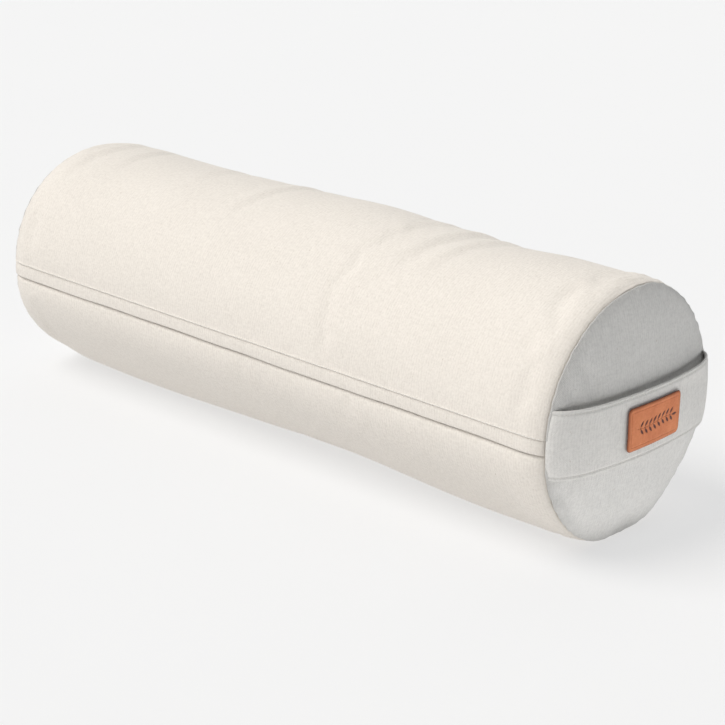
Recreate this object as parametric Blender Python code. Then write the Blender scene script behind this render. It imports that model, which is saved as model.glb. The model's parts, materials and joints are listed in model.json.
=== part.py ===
"""Round bolster pillow: a zipped outer cover with a placket and a carry strap, and an inner cushion.

Metres, +Z up. X is the pillow's axis, with the strap end at +X, and the placket is on the -Y side.
The origin is on the surface that the pillow lies on, under the middle of its box.
"""

from math import acos, asin, cos, pi, radians, sin, sqrt

import bmesh
import bpy
from mathutils import Vector

# Driving dimensions of the pillow.
RADIUS = 0.110
SEAM_TO_SEAM = 0.655
SEAM_RADIUS = 0.1064
SHOULDER = 0.0187  # length over which the cover rounds in to each end seam
DOME = 0.017  # how far an end panel bulges past its seam
DOME_POWER = 2.5
REST_DROP = 0.004  # how far the underside is pressed flat
GAP = 0.0003
LAYER_GAP = 0.0004

# Cloth thicknesses.
CANVAS = 0.001
FOLDED_CANVAS = 0.002
LINING = 0.0007
TAPE = 0.0006
THREAD = 0.0004

# Placket: a folded flap that hangs over the cover's zip.
FLAP_ROOT = radians(2.8)
FLAP_EDGE = radians(-3.44)
WRAP_EDGE = radians(3.1)
LIP_EDGE = radians(-1.6)
LIP_DEPTH = 0.0024
LIP_FULL_AT = radians(-5.0)
LIP_FADES_AT = radians(-14.0)
TOPSTITCH_AT = radians(3.6)

# Carry strap and its label.
STRAP_TOP = 0.0307
STRAP_BOTTOM = -0.0275
STRAP_BULGE = 0.0255
STRAP_REACH = 0.99  # share of the seam's half width that the strap spans
STRAP_STITCH_INSET = 0.003
LABEL_WIDTH = 0.067
LABEL_HEIGHT = 0.035
LABEL_THICKNESS = 0.0014
LABEL_CORNER = 0.004
LABEL_STITCH_INSET = 0.0028

# Zips. Widths run across the zip, heights are distances from the pillow's axis.
COVER_ZIP_HEIGHT = 0.1026
COVER_ZIP_ANGLE = asin(0.0030 / COVER_ZIP_HEIGHT)
COVER_ZIP_HALF = 0.297
COVER_SLIDER_X = 0.283
LINER_ZIP_HEIGHT = 0.10615
LINER_ZIP_ANGLE = pi
LINER_ZIP_HALF = 0.200
LINER_SLIDER_X = 0.188
COIL_INNER = 0.00065
COIL_OUTER = 0.00225
COIL_HALF_HEIGHT = 0.0011
TAPE_START = 0.00255
SLIDER_LENGTH = 0.011
SLIDER_HALF_WIDTH = 0.00475
SLIDER_HALF_HEIGHT = 0.0023
BAIL_REACH = 0.0034
BAIL_CLEAR = 0.0013
BAIL_BAR = 0.0008
PULL_LENGTH = 0.022
PULL_HALF_WIDTH = 0.0023
PULL_HALF_THICKNESS = 0.00045
PULL_BAR = 0.0004
PULL_NECK = 0.006  # from the pivot to where the pull's sides begin to round
WINDOW_SLACK = 0.0009
WINDOW_HALF = 0.0012
CUT_HALF_DEPTH = 0.002
COIL_INSET = 0.006
STOP_LENGTH = 0.003
STOP_INSET = 0.0025
WING_SKIN = 0.0009
WING_LIP = 0.0006
WEB_HALF = 0.00035

# Inner cushion.
LINER_RADIUS = RADIUS - CANVAS - LAYER_GAP
FILL_RADIUS = LINER_RADIUS - LINING - 2 * LAYER_GAP
ZIP_DENT = 0.0096
ZIP_DENT_HALF = 0.036
END_DENT = 0.4  # share of the dents that is left at an end seam
LINER_SLIT_HALF = radians(3.3)
LINER_SLIT_DENT = 0.0012
FILL_SLIT_DENT = 0.0044
SLIT_DENT_HALF = 0.030
BEHIND_ZIP = (-18, -13.5, -9, -4.5, 0, 4.5, 9, 13.5, 18)  # degrees
CARE_LABEL_START = 0.180
CARE_LABEL_WIDTH = 0.035
CARE_LABEL_THICKNESS = 0.00025

HALF_LENGTH = SEAM_TO_SEAM / 2
AXIS_Z = RADIUS - REST_DROP
FRONT_REACH = STRAP_BULGE + LABEL_THICKNESS + 2 * GAP + THREAD
BODY_X = -(FRONT_REACH - DOME - GAP - CANVAS) / 2
SEAM_SCALE = SEAM_RADIUS / RADIUS
FRONT_SEAM_X = BODY_X + HALF_LENGTH

CREAM = (0.80, 0.77, 0.71, 1.0)
GREY = (0.62, 0.62, 0.60, 1.0)
TAN = (0.55, 0.22, 0.09, 1.0)


def clear_scene():
    for old in list(bpy.data.objects):
        bpy.data.objects.remove(old, do_unlink=True)


def finish_material(name, colour, roughness, metallic=0.0):
    material = bpy.data.materials.get(name)
    if material is None:
        material = bpy.data.materials.new(name)
        material.use_nodes = True
        shader = material.node_tree.nodes["Principled BSDF"]
        shader.inputs["Base Color"].default_value = colour
        shader.inputs["Roughness"].default_value = roughness
        shader.inputs["Metallic"].default_value = metallic
    return material


def canvas():
    return finish_material("canvas", CREAM, 0.9)


def end_canvas():
    return finish_material("end_canvas", GREY, 0.9)


def lining():
    return finish_material("lining", (0.85, 0.84, 0.80, 1.0), 0.85)


def zip_cloth():
    return finish_material("zip_cloth", (0.83, 0.81, 0.76, 1.0), 0.8)


def zip_nylon():
    return finish_material("zip_nylon", (0.86, 0.84, 0.79, 1.0), 0.45)


def zip_metal():
    return finish_material("zip_metal", (0.55, 0.55, 0.54, 1.0), 0.35, 1.0)


def thread():
    return finish_material("thread", (0.86, 0.84, 0.79, 1.0), 0.7)


def leather():
    return finish_material("leather", TAN, 0.6)


def hulls():
    return finish_material("hulls", (0.20, 0.13, 0.08, 1.0), 0.8)


def object_from(name, mesh_builder, material, origin=(0, 0, 0), smooth=True):
    """One object, with its own mesh and material and its origin at a point of its own."""
    bmesh.ops.recalc_face_normals(mesh_builder, faces=mesh_builder.faces)
    bmesh.ops.translate(mesh_builder, verts=mesh_builder.verts, vec=-Vector(origin))
    mesh = bpy.data.meshes.new(name)
    mesh_builder.to_mesh(mesh)
    mesh_builder.free()
    mesh.materials.append(material)
    if smooth:
        mesh.shade_smooth()
        mesh.set_sharp_from_angle(angle=radians(35))
    made = bpy.data.objects.new(name, mesh)
    made.location = origin
    bpy.context.scene.collection.objects.link(made)
    return made


def thicken(made, thickness):
    """Cloth is drawn as its outer face, and its thickness goes inwards."""
    solidify = made.modifiers.new("cloth thickness", "SOLIDIFY")
    solidify.thickness = thickness
    solidify.offset = -1.0
    solidify.use_even_offset = True
    return made


def polar(x, angle, radius, scale=1.0):
    """A point at an angle up from the -Y side and a distance from the pillow's axis."""
    return Vector((x, -scale * radius * cos(angle), AXIS_Z + scale * radius * sin(angle)))


def smooth_step(value, start, end):
    share = min(max((value - start) / (end - start), 0.0), 1.0)
    return share * share * (3 - 2 * share)


def bell(distance, half_width):
    if abs(distance) >= half_width:
        return 0.0
    return 0.5 + 0.5 * cos(pi * distance / half_width)


def turn_between(angle, other):
    """The smallest turn from one angle to the other."""
    return (angle - other + pi) % (2 * pi) - pi


def pressed_round(radius, angle):
    """A circle whose underside is pressed flat."""
    from_down = turn_between(angle, -pi / 2)
    if abs(from_down) < radians(60):
        return min(radius, (radius - REST_DROP) / cos(from_down))
    return radius


def cover_radius(angle, dent):
    lip = smooth_step(turn_between(angle, 0), LIP_FADES_AT, LIP_FULL_AT)
    on_wrap = turn_between(angle, 0) > radians(1)
    return pressed_round(RADIUS, angle) - (0 if on_wrap else LIP_DEPTH * lip)


def cover_rim(angle):
    return pressed_round(RADIUS, angle) * SEAM_SCALE


def flap_radius(angle, dent):
    return RADIUS


def zip_dent(angle):
    return ZIP_DENT * bell(turn_between(angle, COVER_ZIP_ANGLE) * RADIUS, ZIP_DENT_HALF)


def slit_bell(angle):
    return bell(turn_between(angle, LINER_ZIP_ANGLE) * RADIUS, SLIT_DENT_HALF)


def liner_radius(angle, dent):
    hollow = zip_dent(angle) + LINER_SLIT_DENT * slit_bell(angle)
    return pressed_round(LINER_RADIUS, angle) - dent * hollow


def liner_rim(angle):
    return liner_radius(angle, END_DENT) * SEAM_SCALE - GAP


def fill_radius(angle, dent):
    hollow = zip_dent(angle) + FILL_SLIT_DENT * slit_bell(angle)
    return pressed_round(FILL_RADIUS, angle) - dent * hollow


def fill_rim(angle):
    return fill_radius(angle, END_DENT) * SEAM_SCALE


def lengthwise(half_length):
    """Stations along the pillow: x, how far the section has drawn in, and how deep its dents are."""
    from_seam = ((0.0, END_DENT), (0.0065, END_DENT), (SHOULDER, 0.8), (0.0255, 1.0))
    stations = []
    for inset, dent in from_seam:
        share = max(1 - inset / SHOULDER, 0.0)
        scale = 1 - (1 - SEAM_SCALE) * share * share
        stations.append((inset - half_length, scale, dent))
    mirrored = [(-x, scale, dent) for x, scale, dent in reversed(stations)]
    return [(BODY_X + x, scale, dent) for x, scale, dent in stations + mirrored]


def angles_between(start, end, step, extra=()):
    """Angles from start to end in even steps, with the extra ones put in where they belong."""
    count = max(round((end - start) / step), 1)
    even = [start + (end - start) * i / count for i in range(count + 1)]
    inside = [angle for angle in extra if start < angle < end]
    kept = [angle for angle in even if all(abs(angle - other) > step / 4 for other in inside)]
    return sorted(kept + inside)


def grid_surface(rows, closed=False):
    """Faces between rows of points that all have the same number of points."""
    builder = bmesh.new()
    verts = [[builder.verts.new(point) for point in row] for row in rows]
    for near, far in zip(verts, verts[1:]):
        pairs = list(zip(near, far))
        if closed:
            pairs.append(pairs[0])
        for (a, b), (c, d) in zip(pairs, pairs[1:]):
            builder.faces.new((a, b, d, c))
    return builder


def wrapped_cloth(name, material, stations, angles, radius_at, thickness, origin=(0, 0, 0)):
    """Cloth wrapped round the pillow's axis, open along one line."""
    rows = []
    for x, scale, dent in stations:
        rows.append([polar(x, angle, radius_at(angle, dent), scale) for angle in angles])
    builder = grid_surface(rows)
    made = object_from(name, builder, material, origin)
    face = made.data.polygons[0]
    outward = face.center + made.location - Vector((face.center.x, 0, AXIS_Z))
    if face.normal.dot(Vector((0, outward.y, outward.z))) < 0:
        made.data.flip_normals()
    return thicken(made, thickness)


ROUND_STEP = radians(7.5)
END_SHARES = (1.0, 0.9, 0.72, 0.46, 0.2)
CHORD_CORNER = acos((RADIUS - REST_DROP) / RADIUS)
UNDERSIDE = (radians(270) - CHORD_CORNER, radians(270) + CHORD_CORNER)


def dome_rings(side, rim_x, rim_at, full_turn, shares):
    """Rings of an end that bulges from its rim to its middle."""
    rings = []
    for share in shares:
        x = rim_x + side * DOME * (1 - share**DOME_POWER)
        rings.append([polar(x, angle, share * rim_at(angle)) for angle in full_turn])
    return rings


def end_panel(name, material, side, rim_x, rim_at, thickness):
    """A round end piece, bulging outwards, whose rim is the end seam."""
    full_turn = [ROUND_STEP * i for i in range(48)]
    rings = dome_rings(side, rim_x, rim_at, full_turn, END_SHARES)
    builder = grid_surface(rings, closed=True)
    builder.verts.ensure_lookup_table()
    last = builder.verts[-len(full_turn):]
    builder.faces.new(last)
    made = object_from(name, builder, material)
    if made.data.polygons[0].normal.x * side < 0:
        made.data.flip_normals()
    return thicken(made, thickness)


def build_cover():
    stations = lengthwise(HALF_LENGTH)
    lip_end = 2 * pi + LIP_EDGE
    lip_turns = [2 * pi + radians(a) for a in (-14, -11, -8, -5)]
    angles = angles_between(WRAP_EDGE, lip_end, ROUND_STEP, (pi / 2, pi, *UNDERSIDE, *lip_turns))
    wrapped_cloth("cover_body_panel", canvas(), stations, angles, cover_radius, CANVAS)
    for name, side in (("front_end_panel", 1), ("rear_end_panel", -1)):
        rim_x = BODY_X + side * (HALF_LENGTH + GAP + CANVAS)
        end_panel(name, end_canvas(), side, rim_x, cover_rim, CANVAS)


def build_placket():
    stations = lengthwise(HALF_LENGTH)
    hinge = polar(BODY_X, (FLAP_ROOT + WRAP_EDGE) / 2, RADIUS - CANVAS)
    angles = angles_between(FLAP_EDGE, FLAP_ROOT, radians(2.1), (0.0,))
    wrapped_cloth("placket_flap", canvas(), stations, angles, flap_radius, FOLDED_CANVAS, hinge)
    half_width = THREAD / 2 / RADIUS
    seam_angles = [TOPSTITCH_AT - half_width, TOPSTITCH_AT + half_width]
    lift = RADIUS + GAP + THREAD
    wrapped_cloth("placket_topstitching", thread(), stations, seam_angles, lambda a, d: lift, THREAD)


def strap_x(share):
    """How far the strap's outer face stands in front of the seam, by its share of the half width."""
    return STRAP_BULGE * sqrt(1 - abs(share) ** DOME_POWER)


def strap_point(share, z):
    half_width = sqrt(SEAM_RADIUS**2 - z * z)
    return Vector((FRONT_SEAM_X + strap_x(share), share * half_width, AXIS_Z + z))


def strap_normal(share, z):
    step = 0.002
    ahead = strap_point(min(share + step, 1), z)
    behind = strap_point(max(share - step, -1), z)
    along = ahead - behind
    return Vector((along.y, -along.x, 0)).normalized()


def strap_shares(count, reach=STRAP_REACH):
    """Even turns along the strap, so that its tight ends get more points than its flat middle."""
    return [reach * sin(pi / 2 * (2 * i / count - 1)) for i in range(count + 1)]


def ribbon(name, material, path, sides, normals, width, thickness, origin, closed=False):
    """A flat thread or strip that follows a path."""
    rows = [[], [], [], []]
    corners = ((-1, 0), (1, 0), (1, 1), (-1, 1))
    for point, side, normal in zip(path, sides, normals):
        for row, (across, up) in zip(rows, corners):
            row.append(point + side * (across * width / 2) + normal * (up * thickness))
    builder = grid_surface([*rows, rows[0]], closed)
    bmesh.ops.remove_doubles(builder, verts=builder.verts, dist=1e-6)
    bmesh.ops.holes_fill(builder, edges=[e for e in builder.edges if e.is_boundary], sides=4)
    return object_from(name, builder, material, origin, smooth=False)


def build_strap(guide):
    middle = Vector(guide.location)
    rows = []
    heights = [STRAP_BOTTOM + (STRAP_TOP - STRAP_BOTTOM) * i / 2 for i in range(3)]
    shares = strap_shares(24)
    for z in heights:
        rows.append([strap_point(share, z) for share in shares])
    strap = object_from("carry_strap", grid_surface(rows), canvas(), middle)
    if strap.data.polygons[12].normal.x < 0:
        strap.data.flip_normals()
    thicken(strap, FOLDED_CANVAS)
    made = [strap]
    edges = (("strap_top_stitching", STRAP_TOP - STRAP_STITCH_INSET),
             ("strap_bottom_stitching", STRAP_BOTTOM + STRAP_STITCH_INSET))
    for name, z in edges:
        shares = strap_shares(24, 0.97)
        normals = [strap_normal(share, z) for share in shares]
        path = [strap_point(share, z) + normal * GAP for share, normal in zip(shares, normals)]
        up = [Vector((0, 0, 1))] * len(path)
        made.append(ribbon(name, thread(), path, up, normals, THREAD, THREAD, middle))
    return made


def rounded_outline(width, height, corner, steps=4, splits=1):
    """Points round a rectangle with round corners, centred on zero, with its long sides split."""
    points = []
    for quarter in range(4):
        centre_y = (width / 2 - corner) * (1 if quarter in (0, 3) else -1)
        centre_z = (height / 2 - corner) * (1 if quarter in (0, 1) else -1)
        for i in range(steps + 1):
            turn = pi / 2 * (quarter + i / steps)
            points.append((centre_y + corner * cos(turn), centre_z + corner * sin(turn)))
        if quarter in (0, 2):
            y, z = points[-1]
            for i in range(1, splits):
                points.append((y * (1 - 2 * i / splits), z))
    return points


def on_strap(y, z, lift):
    share = y / sqrt(SEAM_RADIUS**2 - z * z)
    return strap_point(share, z) + strap_normal(share, z) * lift


def build_label(guide):
    middle = Vector(guide.location)
    centre_z = (STRAP_TOP + STRAP_BOTTOM) / 2
    builder = bmesh.new()
    outline = rounded_outline(LABEL_WIDTH, LABEL_HEIGHT, LABEL_CORNER)
    builder.faces.new([builder.verts.new((0, y, z)) for y, z in outline])
    cuts = [LABEL_WIDTH * (i / 6 - 0.5) for i in range(1, 6)]
    for y in cuts:
        everything = builder.verts[:] + builder.edges[:] + builder.faces[:]
        bmesh.ops.bisect_plane(builder, geom=everything, plane_co=(0, y, 0), plane_no=(0, 1, 0))
    for vert in builder.verts:
        vert.co = on_strap(vert.co.y, vert.co.z + centre_z, GAP + LABEL_THICKNESS)
    label = object_from("leather_label", builder, leather(), middle)
    if label.data.polygons[0].normal.x < 0:
        label.data.flip_normals()
    thicken(label, LABEL_THICKNESS)
    inset = 2 * LABEL_STITCH_INSET
    corner = LABEL_CORNER - inset / 4
    outline = rounded_outline(LABEL_WIDTH - inset, LABEL_HEIGHT - inset, corner, splits=6)
    path = [on_strap(y, z + centre_z, 2 * GAP + LABEL_THICKNESS) for y, z in outline]
    normals = [strap_normal(y / SEAM_RADIUS, 0) for y, z in outline]
    sides = []
    for y, z in outline:
        sides.append(Vector((0, y / LABEL_WIDTH, z / LABEL_HEIGHT)).normalized())
    stitching = ribbon("label_stitching", thread(), path, sides, normals, THREAD, THREAD, middle, True)
    return [label, stitching]


class ZipFrame:
    """Places a point by its x, its distance across a zip and its distance from the pillow's axis."""

    def __init__(self, angle):
        self.outward = Vector((0, -cos(angle), sin(angle)))
        self.across = Vector((0, sin(angle), cos(angle)))

    def point(self, x, across, height):
        return Vector((x, 0, AXIS_Z)) + self.outward * height + self.across * across


def extruded(name, material, frame, outline, x_start, x_end, origin=(0, 0, 0)):
    """An outline of (across, height) points, extruded along the pillow."""
    builder = bmesh.new()
    face = builder.faces.new([builder.verts.new(frame.point(x_start, *point)) for point in outline])
    grown = bmesh.ops.extrude_face_region(builder, geom=[face])
    moved = [item for item in grown["geom"] if isinstance(item, bmesh.types.BMVert)]
    bmesh.ops.translate(builder, verts=moved, vec=(x_end - x_start, 0, 0))
    return object_from(name, builder, material, origin, smooth=False)


def box_outline(across_low, across_high, low, high):
    return [(across_low, low), (across_high, low), (across_high, high), (across_low, high)]


def strip_outline(path, thickness):
    """The outline of a thin strip whose middle follows a path of (across, height) points."""
    lower = [(across, height - thickness / 2) for across, height in path]
    upper = [(across, height + thickness / 2) for across, height in reversed(path)]
    return lower + upper


def zip_rows(prefix, frame, height, half_length, upper_path, lower_path):
    """The two tapes, the two rows of coil and the stop at each end of one zip."""
    x_start = BODY_X - half_length
    x_end = BODY_X + half_length
    for side, path in (("upper", upper_path), ("lower", lower_path)):
        sign = 1 if side == "upper" else -1
        outline = strip_outline(path, TAPE)
        extruded(f"{prefix}_zip_tape_{side}", zip_cloth(), frame, outline, x_start, x_end)
        inner, outer = sorted((sign * COIL_INNER, sign * COIL_OUTER))
        outline = box_outline(inner, outer, height - COIL_HALF_HEIGHT, height + COIL_HALF_HEIGHT)
        coil_start, coil_end = x_start + COIL_INSET, x_end - COIL_INSET
        extruded(f"{prefix}_zip_coil_{side}", zip_nylon(), frame, outline, coil_start, coil_end)
    stop = box_outline(-COIL_OUTER, COIL_OUTER, height - COIL_HALF_HEIGHT, height + COIL_HALF_HEIGHT)
    for end, x in (("top", x_end - STOP_INSET - STOP_LENGTH), ("bottom", x_start + STOP_INSET)):
        extruded(f"{prefix}_zip_{end}_stop", zip_metal(), frame, stop, x, x + STOP_LENGTH)


def slider_outline(height):
    """Two wings joined by a web, with lips that leave a slot for each tape."""
    wing_top = height + SLIDER_HALF_HEIGHT
    slot_top = height + TAPE / 2 + GAP
    half = SLIDER_HALF_WIDTH
    lip = half - WING_LIP
    inner_top = wing_top - WING_SKIN
    quarter = [(WEB_HALF, height), (WEB_HALF, inner_top), (lip, inner_top), (lip, slot_top),
               (half, slot_top), (half, wing_top)]
    upper = quarter + [(-across, level) for across, level in reversed(quarter)]
    lower = [(-across, 2 * height - level) for across, level in quarter]
    lower += [(across, 2 * height - level) for across, level in reversed(quarter)]
    return upper[1:-1] + lower[1:-1]


def zip_slider(name, frame, height, x_middle):
    """A slider that wraps both coils."""
    pivot = frame.point(x_middle, 0, height)
    x_start = x_middle - SLIDER_LENGTH / 2
    outline = slider_outline(height)
    x_end = x_start + SLIDER_LENGTH
    return extruded(name, zip_metal(), frame, outline, x_start, x_end, pivot)


def add_bail(slider, frame, height, x_middle):
    """The small arch on a slider that its pull hangs on."""
    top = height + SLIDER_HALF_HEIGHT
    foot = top - 0.0004
    crown = top + BAIL_CLEAR + BAIL_BAR
    inner = BAIL_REACH - BAIL_BAR
    outline = [(-BAIL_REACH, foot), (-BAIL_REACH, crown), (BAIL_REACH, crown), (BAIL_REACH, foot),
               (inner, foot), (inner, top + BAIL_CLEAR), (-inner, top + BAIL_CLEAR), (-inner, foot)]
    builder = bmesh.new()
    corners = [frame.point(x_middle + x, -BAIL_BAR, level) for x, level in outline]
    face = builder.faces.new([builder.verts.new(corner) for corner in corners])
    grown = bmesh.ops.extrude_face_region(builder, geom=[face])
    moved = [item for item in grown["geom"] if isinstance(item, bmesh.types.BMVert)]
    bmesh.ops.translate(builder, verts=moved, vec=frame.across * (2 * BAIL_BAR))
    tool_name = f"{slider.name}_bail_tool"
    bail = object_from(tool_name, builder, zip_metal(), slider.location, smooth=False)
    bail.hide_render = True
    bail.display_type = "WIRE"
    join = slider.modifiers.new("bail", "BOOLEAN")
    join.operation = "UNION"
    join.object = bail


def zip_pull(name, frame, height, x_pivot):
    """A flat pull tab with a window that the slider's bail passes through."""
    level = height + SLIDER_HALF_HEIGHT + BAIL_CLEAR / 2
    window_end = BAIL_REACH + WINDOW_SLACK
    half_width = PULL_HALF_WIDTH
    outer = [(PULL_BAR, -half_width), (PULL_BAR, half_width), (-PULL_NECK, half_width)]
    tip = PULL_LENGTH - half_width
    for i in range(7):
        turn = pi / 2 - pi * i / 6
        outer.append((-tip - half_width * cos(turn), half_width * sin(turn)))
    outer.append((-PULL_NECK, -half_width))
    origin = frame.point(x_pivot, 0, level)

    def slab(points, half_depth):
        builder = bmesh.new()
        corners = [frame.point(x_pivot + x, across, level - half_depth) for x, across in points]
        face = builder.faces.new([builder.verts.new(corner) for corner in corners])
        grown = bmesh.ops.extrude_face_region(builder, geom=[face])
        moved = [item for item in grown["geom"] if isinstance(item, bmesh.types.BMVert)]
        bmesh.ops.translate(builder, verts=moved, vec=frame.outward * (2 * half_depth))
        return builder

    solid = slab(outer, PULL_HALF_THICKNESS)
    pull = object_from(name, solid, zip_metal(), origin, smooth=False)
    window = [(-PULL_BAR, -WINDOW_HALF), (-PULL_BAR, WINDOW_HALF),
              (-window_end, WINDOW_HALF), (-window_end, -WINDOW_HALF)]
    hole = slab(window, CUT_HALF_DEPTH)
    cutter = object_from(f"{name}_window_tool", hole, zip_metal(), origin, smooth=False)
    cutter.hide_render = True
    cutter.display_type = "WIRE"
    cut = pull.modifiers.new("window", "BOOLEAN")
    cut.operation = "DIFFERENCE"
    cut.object = cutter


def build_cover_zip():
    frame = ZipFrame(COVER_ZIP_ANGLE)
    height = COVER_ZIP_HEIGHT
    upper = [(TAPE_START, height), (0.0052, height), (0.0086, 0.1074), (0.0130, 0.1072)]
    lower = [(-TAPE_START, height), (-0.0052, height), (-0.0082, 0.1054), (-0.0140, 0.1049)]
    zip_rows("cover", frame, height, COVER_ZIP_HALF, upper, lower)
    x_parked = BODY_X + COVER_SLIDER_X
    slider = zip_slider("cover_zip_slider", frame, height, x_parked)
    add_bail(slider, frame, height, x_parked)
    zip_pull("cover_zip_pull", frame, height, x_parked)


def build_liner_zip():
    frame = ZipFrame(LINER_ZIP_ANGLE)
    edge = (0.0130, 0.1053)
    upper = [(TAPE_START, LINER_ZIP_HEIGHT), (0.0056, LINER_ZIP_HEIGHT), edge]
    lower = [(-across, level) for across, level in upper]
    zip_rows("liner", frame, LINER_ZIP_HEIGHT, LINER_ZIP_HALF, upper, lower)
    zip_slider("liner_zip_slider", frame, LINER_ZIP_HEIGHT, BODY_X + LINER_SLIDER_X)


def build_liner():
    inset = GAP + LINING + LAYER_GAP
    stations = lengthwise(HALF_LENGTH - inset)
    start = LINER_ZIP_ANGLE + LINER_SLIT_HALF - 2 * pi
    end = LINER_ZIP_ANGLE - LINER_SLIT_HALF
    hollow = [COVER_ZIP_ANGLE + radians(a) for a in BEHIND_ZIP]
    underside = [angle - 2 * pi for angle in UNDERSIDE]
    angles = angles_between(start, end, ROUND_STEP, (-pi / 2, pi / 2, *underside, *hollow))
    wrapped_cloth("liner_tube", lining(), stations, angles, liner_radius, LINING)
    for name, side in (("liner_front_end", 1), ("liner_rear_end", -1)):
        rim_x = BODY_X + side * (HALF_LENGTH - LAYER_GAP)
        end_panel(name, lining(), side, rim_x, liner_rim, LINING)


def build_filling():
    """The loose hulls, as the one shape that they fill."""
    inset = GAP + LINING + 2 * LAYER_GAP
    hollow = [COVER_ZIP_ANGLE + radians(a) for a in BEHIND_ZIP]
    slit = [LINER_ZIP_ANGLE + radians(a) for a in (-15, -7.5, 7.5, 15)]
    underside = [angle - 2 * pi for angle in UNDERSIDE]
    start = -pi + radians(3)
    angles = angles_between(start, start + 2 * pi, ROUND_STEP, (*underside, *hollow, *slit))[:-1]
    stations = lengthwise(HALF_LENGTH - inset)
    shares = END_SHARES[1:]
    rear = dome_rings(-1, stations[0][0], fill_rim, angles, reversed(shares))
    front = dome_rings(1, stations[-1][0], fill_rim, angles, shares)
    tube = []
    for x, scale, dent in stations:
        tube.append([polar(x, angle, fill_radius(angle, dent), scale) for angle in angles])
    builder = grid_surface([*rear, *tube, *front], closed=True)
    bmesh.ops.holes_fill(builder, edges=[e for e in builder.edges if e.is_boundary])
    object_from("hull_filling", builder, hulls())


def build_care_label():
    x_start = BODY_X + CARE_LABEL_START
    stations = [(x_start, 1.0, 0.0), (x_start + CARE_LABEL_WIDTH, 1.0, 0.0)]
    angles = [radians(a) for a in (-13.0, -11.0, -9.0, -6.9)]

    def inside_cover(angle, dent):
        return cover_radius(angle, dent) - CANVAS - LAYER_GAP

    wrapped_cloth("care_label", lining(), stations, angles, inside_cover, CARE_LABEL_THICKNESS)


def strap_guide():
    """The empty that the strap and its label hang from, on the line that they lift along."""
    guide = bpy.data.objects.new("strap_lift_guide", None)
    guide.location = strap_point(0, (STRAP_TOP + STRAP_BOTTOM) / 2)
    bpy.context.scene.collection.objects.link(guide)
    return guide


def hang_from(guide, pieces):
    for piece in pieces:
        piece.parent = guide
        piece.location = (0, 0, 0)


def main():
    clear_scene()
    build_cover()
    build_placket()
    build_cover_zip()
    guide = strap_guide()
    hang_from(guide, build_strap(guide) + build_label(guide))
    build_liner()
    build_liner_zip()
    build_filling()
    build_care_label()


main()
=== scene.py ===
import json
from math import asin, atan2, cos, hypot, pi, radians, sin, sqrt

import bpy
import numpy as np
from mathutils import Matrix, Vector


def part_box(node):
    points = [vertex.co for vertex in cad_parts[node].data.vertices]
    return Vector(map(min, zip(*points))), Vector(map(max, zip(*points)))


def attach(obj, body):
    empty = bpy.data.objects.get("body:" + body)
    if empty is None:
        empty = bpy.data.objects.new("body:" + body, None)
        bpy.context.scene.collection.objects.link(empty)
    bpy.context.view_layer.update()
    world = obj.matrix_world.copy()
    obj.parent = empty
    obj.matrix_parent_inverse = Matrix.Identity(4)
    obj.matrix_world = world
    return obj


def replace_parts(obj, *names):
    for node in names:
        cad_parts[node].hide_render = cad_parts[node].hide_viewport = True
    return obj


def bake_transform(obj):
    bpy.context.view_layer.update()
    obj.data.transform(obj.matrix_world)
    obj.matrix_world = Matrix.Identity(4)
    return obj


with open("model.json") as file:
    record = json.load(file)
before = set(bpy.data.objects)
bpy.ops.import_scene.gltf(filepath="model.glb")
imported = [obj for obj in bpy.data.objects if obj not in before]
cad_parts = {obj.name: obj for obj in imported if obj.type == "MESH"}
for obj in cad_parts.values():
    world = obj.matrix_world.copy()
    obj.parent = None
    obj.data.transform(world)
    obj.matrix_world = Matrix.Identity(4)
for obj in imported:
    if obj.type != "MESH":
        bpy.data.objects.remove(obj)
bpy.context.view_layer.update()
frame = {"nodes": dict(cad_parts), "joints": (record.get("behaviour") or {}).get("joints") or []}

bpy.ops.object.select_all(action="DESELECT")

# ---- The pillow's own measures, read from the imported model. ----
cover_low, cover_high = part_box("cover_body_panel")
flap_low, flap_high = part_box("placket_flap")
strap_low, strap_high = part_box("carry_strap")
label_low, label_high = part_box("leather_label")
hinge_joint = next(joint for joint in frame["joints"] if joint["name"] == "placket_lift")
HINGE = Vector(hinge_joint["pos_m"])

RADIUS = cover_high.y
AXIS_Z = cover_high.z - RADIUS
REAR_SEAM, FRONT_SEAM = cover_low.x, cover_high.x
MIDDLE_X = (REAR_SEAM + FRONT_SEAM) / 2
SEAM_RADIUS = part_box("front_end_panel")[1].y
HINGE_ANGLE = atan2(HINGE.z - AXIS_Z, -HINGE.y)
HINGE_RADIUS = hypot(HINGE.z - AXIS_Z, HINGE.y)
FLAP_EDGE = asin((flap_low.z - AXIS_Z) / RADIUS)

# ---- Cloth, thread and hem sizes, in metres. ----
CANVAS = 0.001
LINING = 0.0007
LAYER_GAP = 0.0004
SHOULDER = 0.0187
SEAM_ROLL = 0.0020
SEAM_SINK = 0.0016
DOME = 0.0165
DOME_POWER = 2.5
DOME_FILL = 0.9
RIM_STEP, RIM_STEP_REACH = 0.0010, 0.0016
THREAD, TOP_THREAD = 0.00055, 0.00075
STITCH = 0.0030
STITCH_STEP = 0.0036
STITCH_ANGLE = HINGE_ANGLE + 0.0016 / RADIUS
FLAP_BEAD = 0.0007
FLAP_CALM, FLAP_CALM_HALF = 0.85, 0.022
LIP_EDGE = radians(-1.6)
LIP_DEPTH, LIP_SOFT = 0.0024, 0.0008
STRAP_BULGE = strap_high.x - FRONT_SEAM
STRAP_LOW, STRAP_TOP = strap_low.z - AXIS_Z, strap_high.z - AXIS_Z
STRAP_MIDDLE = (STRAP_LOW + STRAP_TOP) / 2
STRAP_REACH = 0.9993
STRAP_THICK = 0.002
STRAP_INSET = 0.003
STRAP_DIMPLE, DIMPLE_WIDTH = 0.0005, 0.0009
STRAP_CURL, STRAP_SLACK = 0.0010, 0.0018
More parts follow.
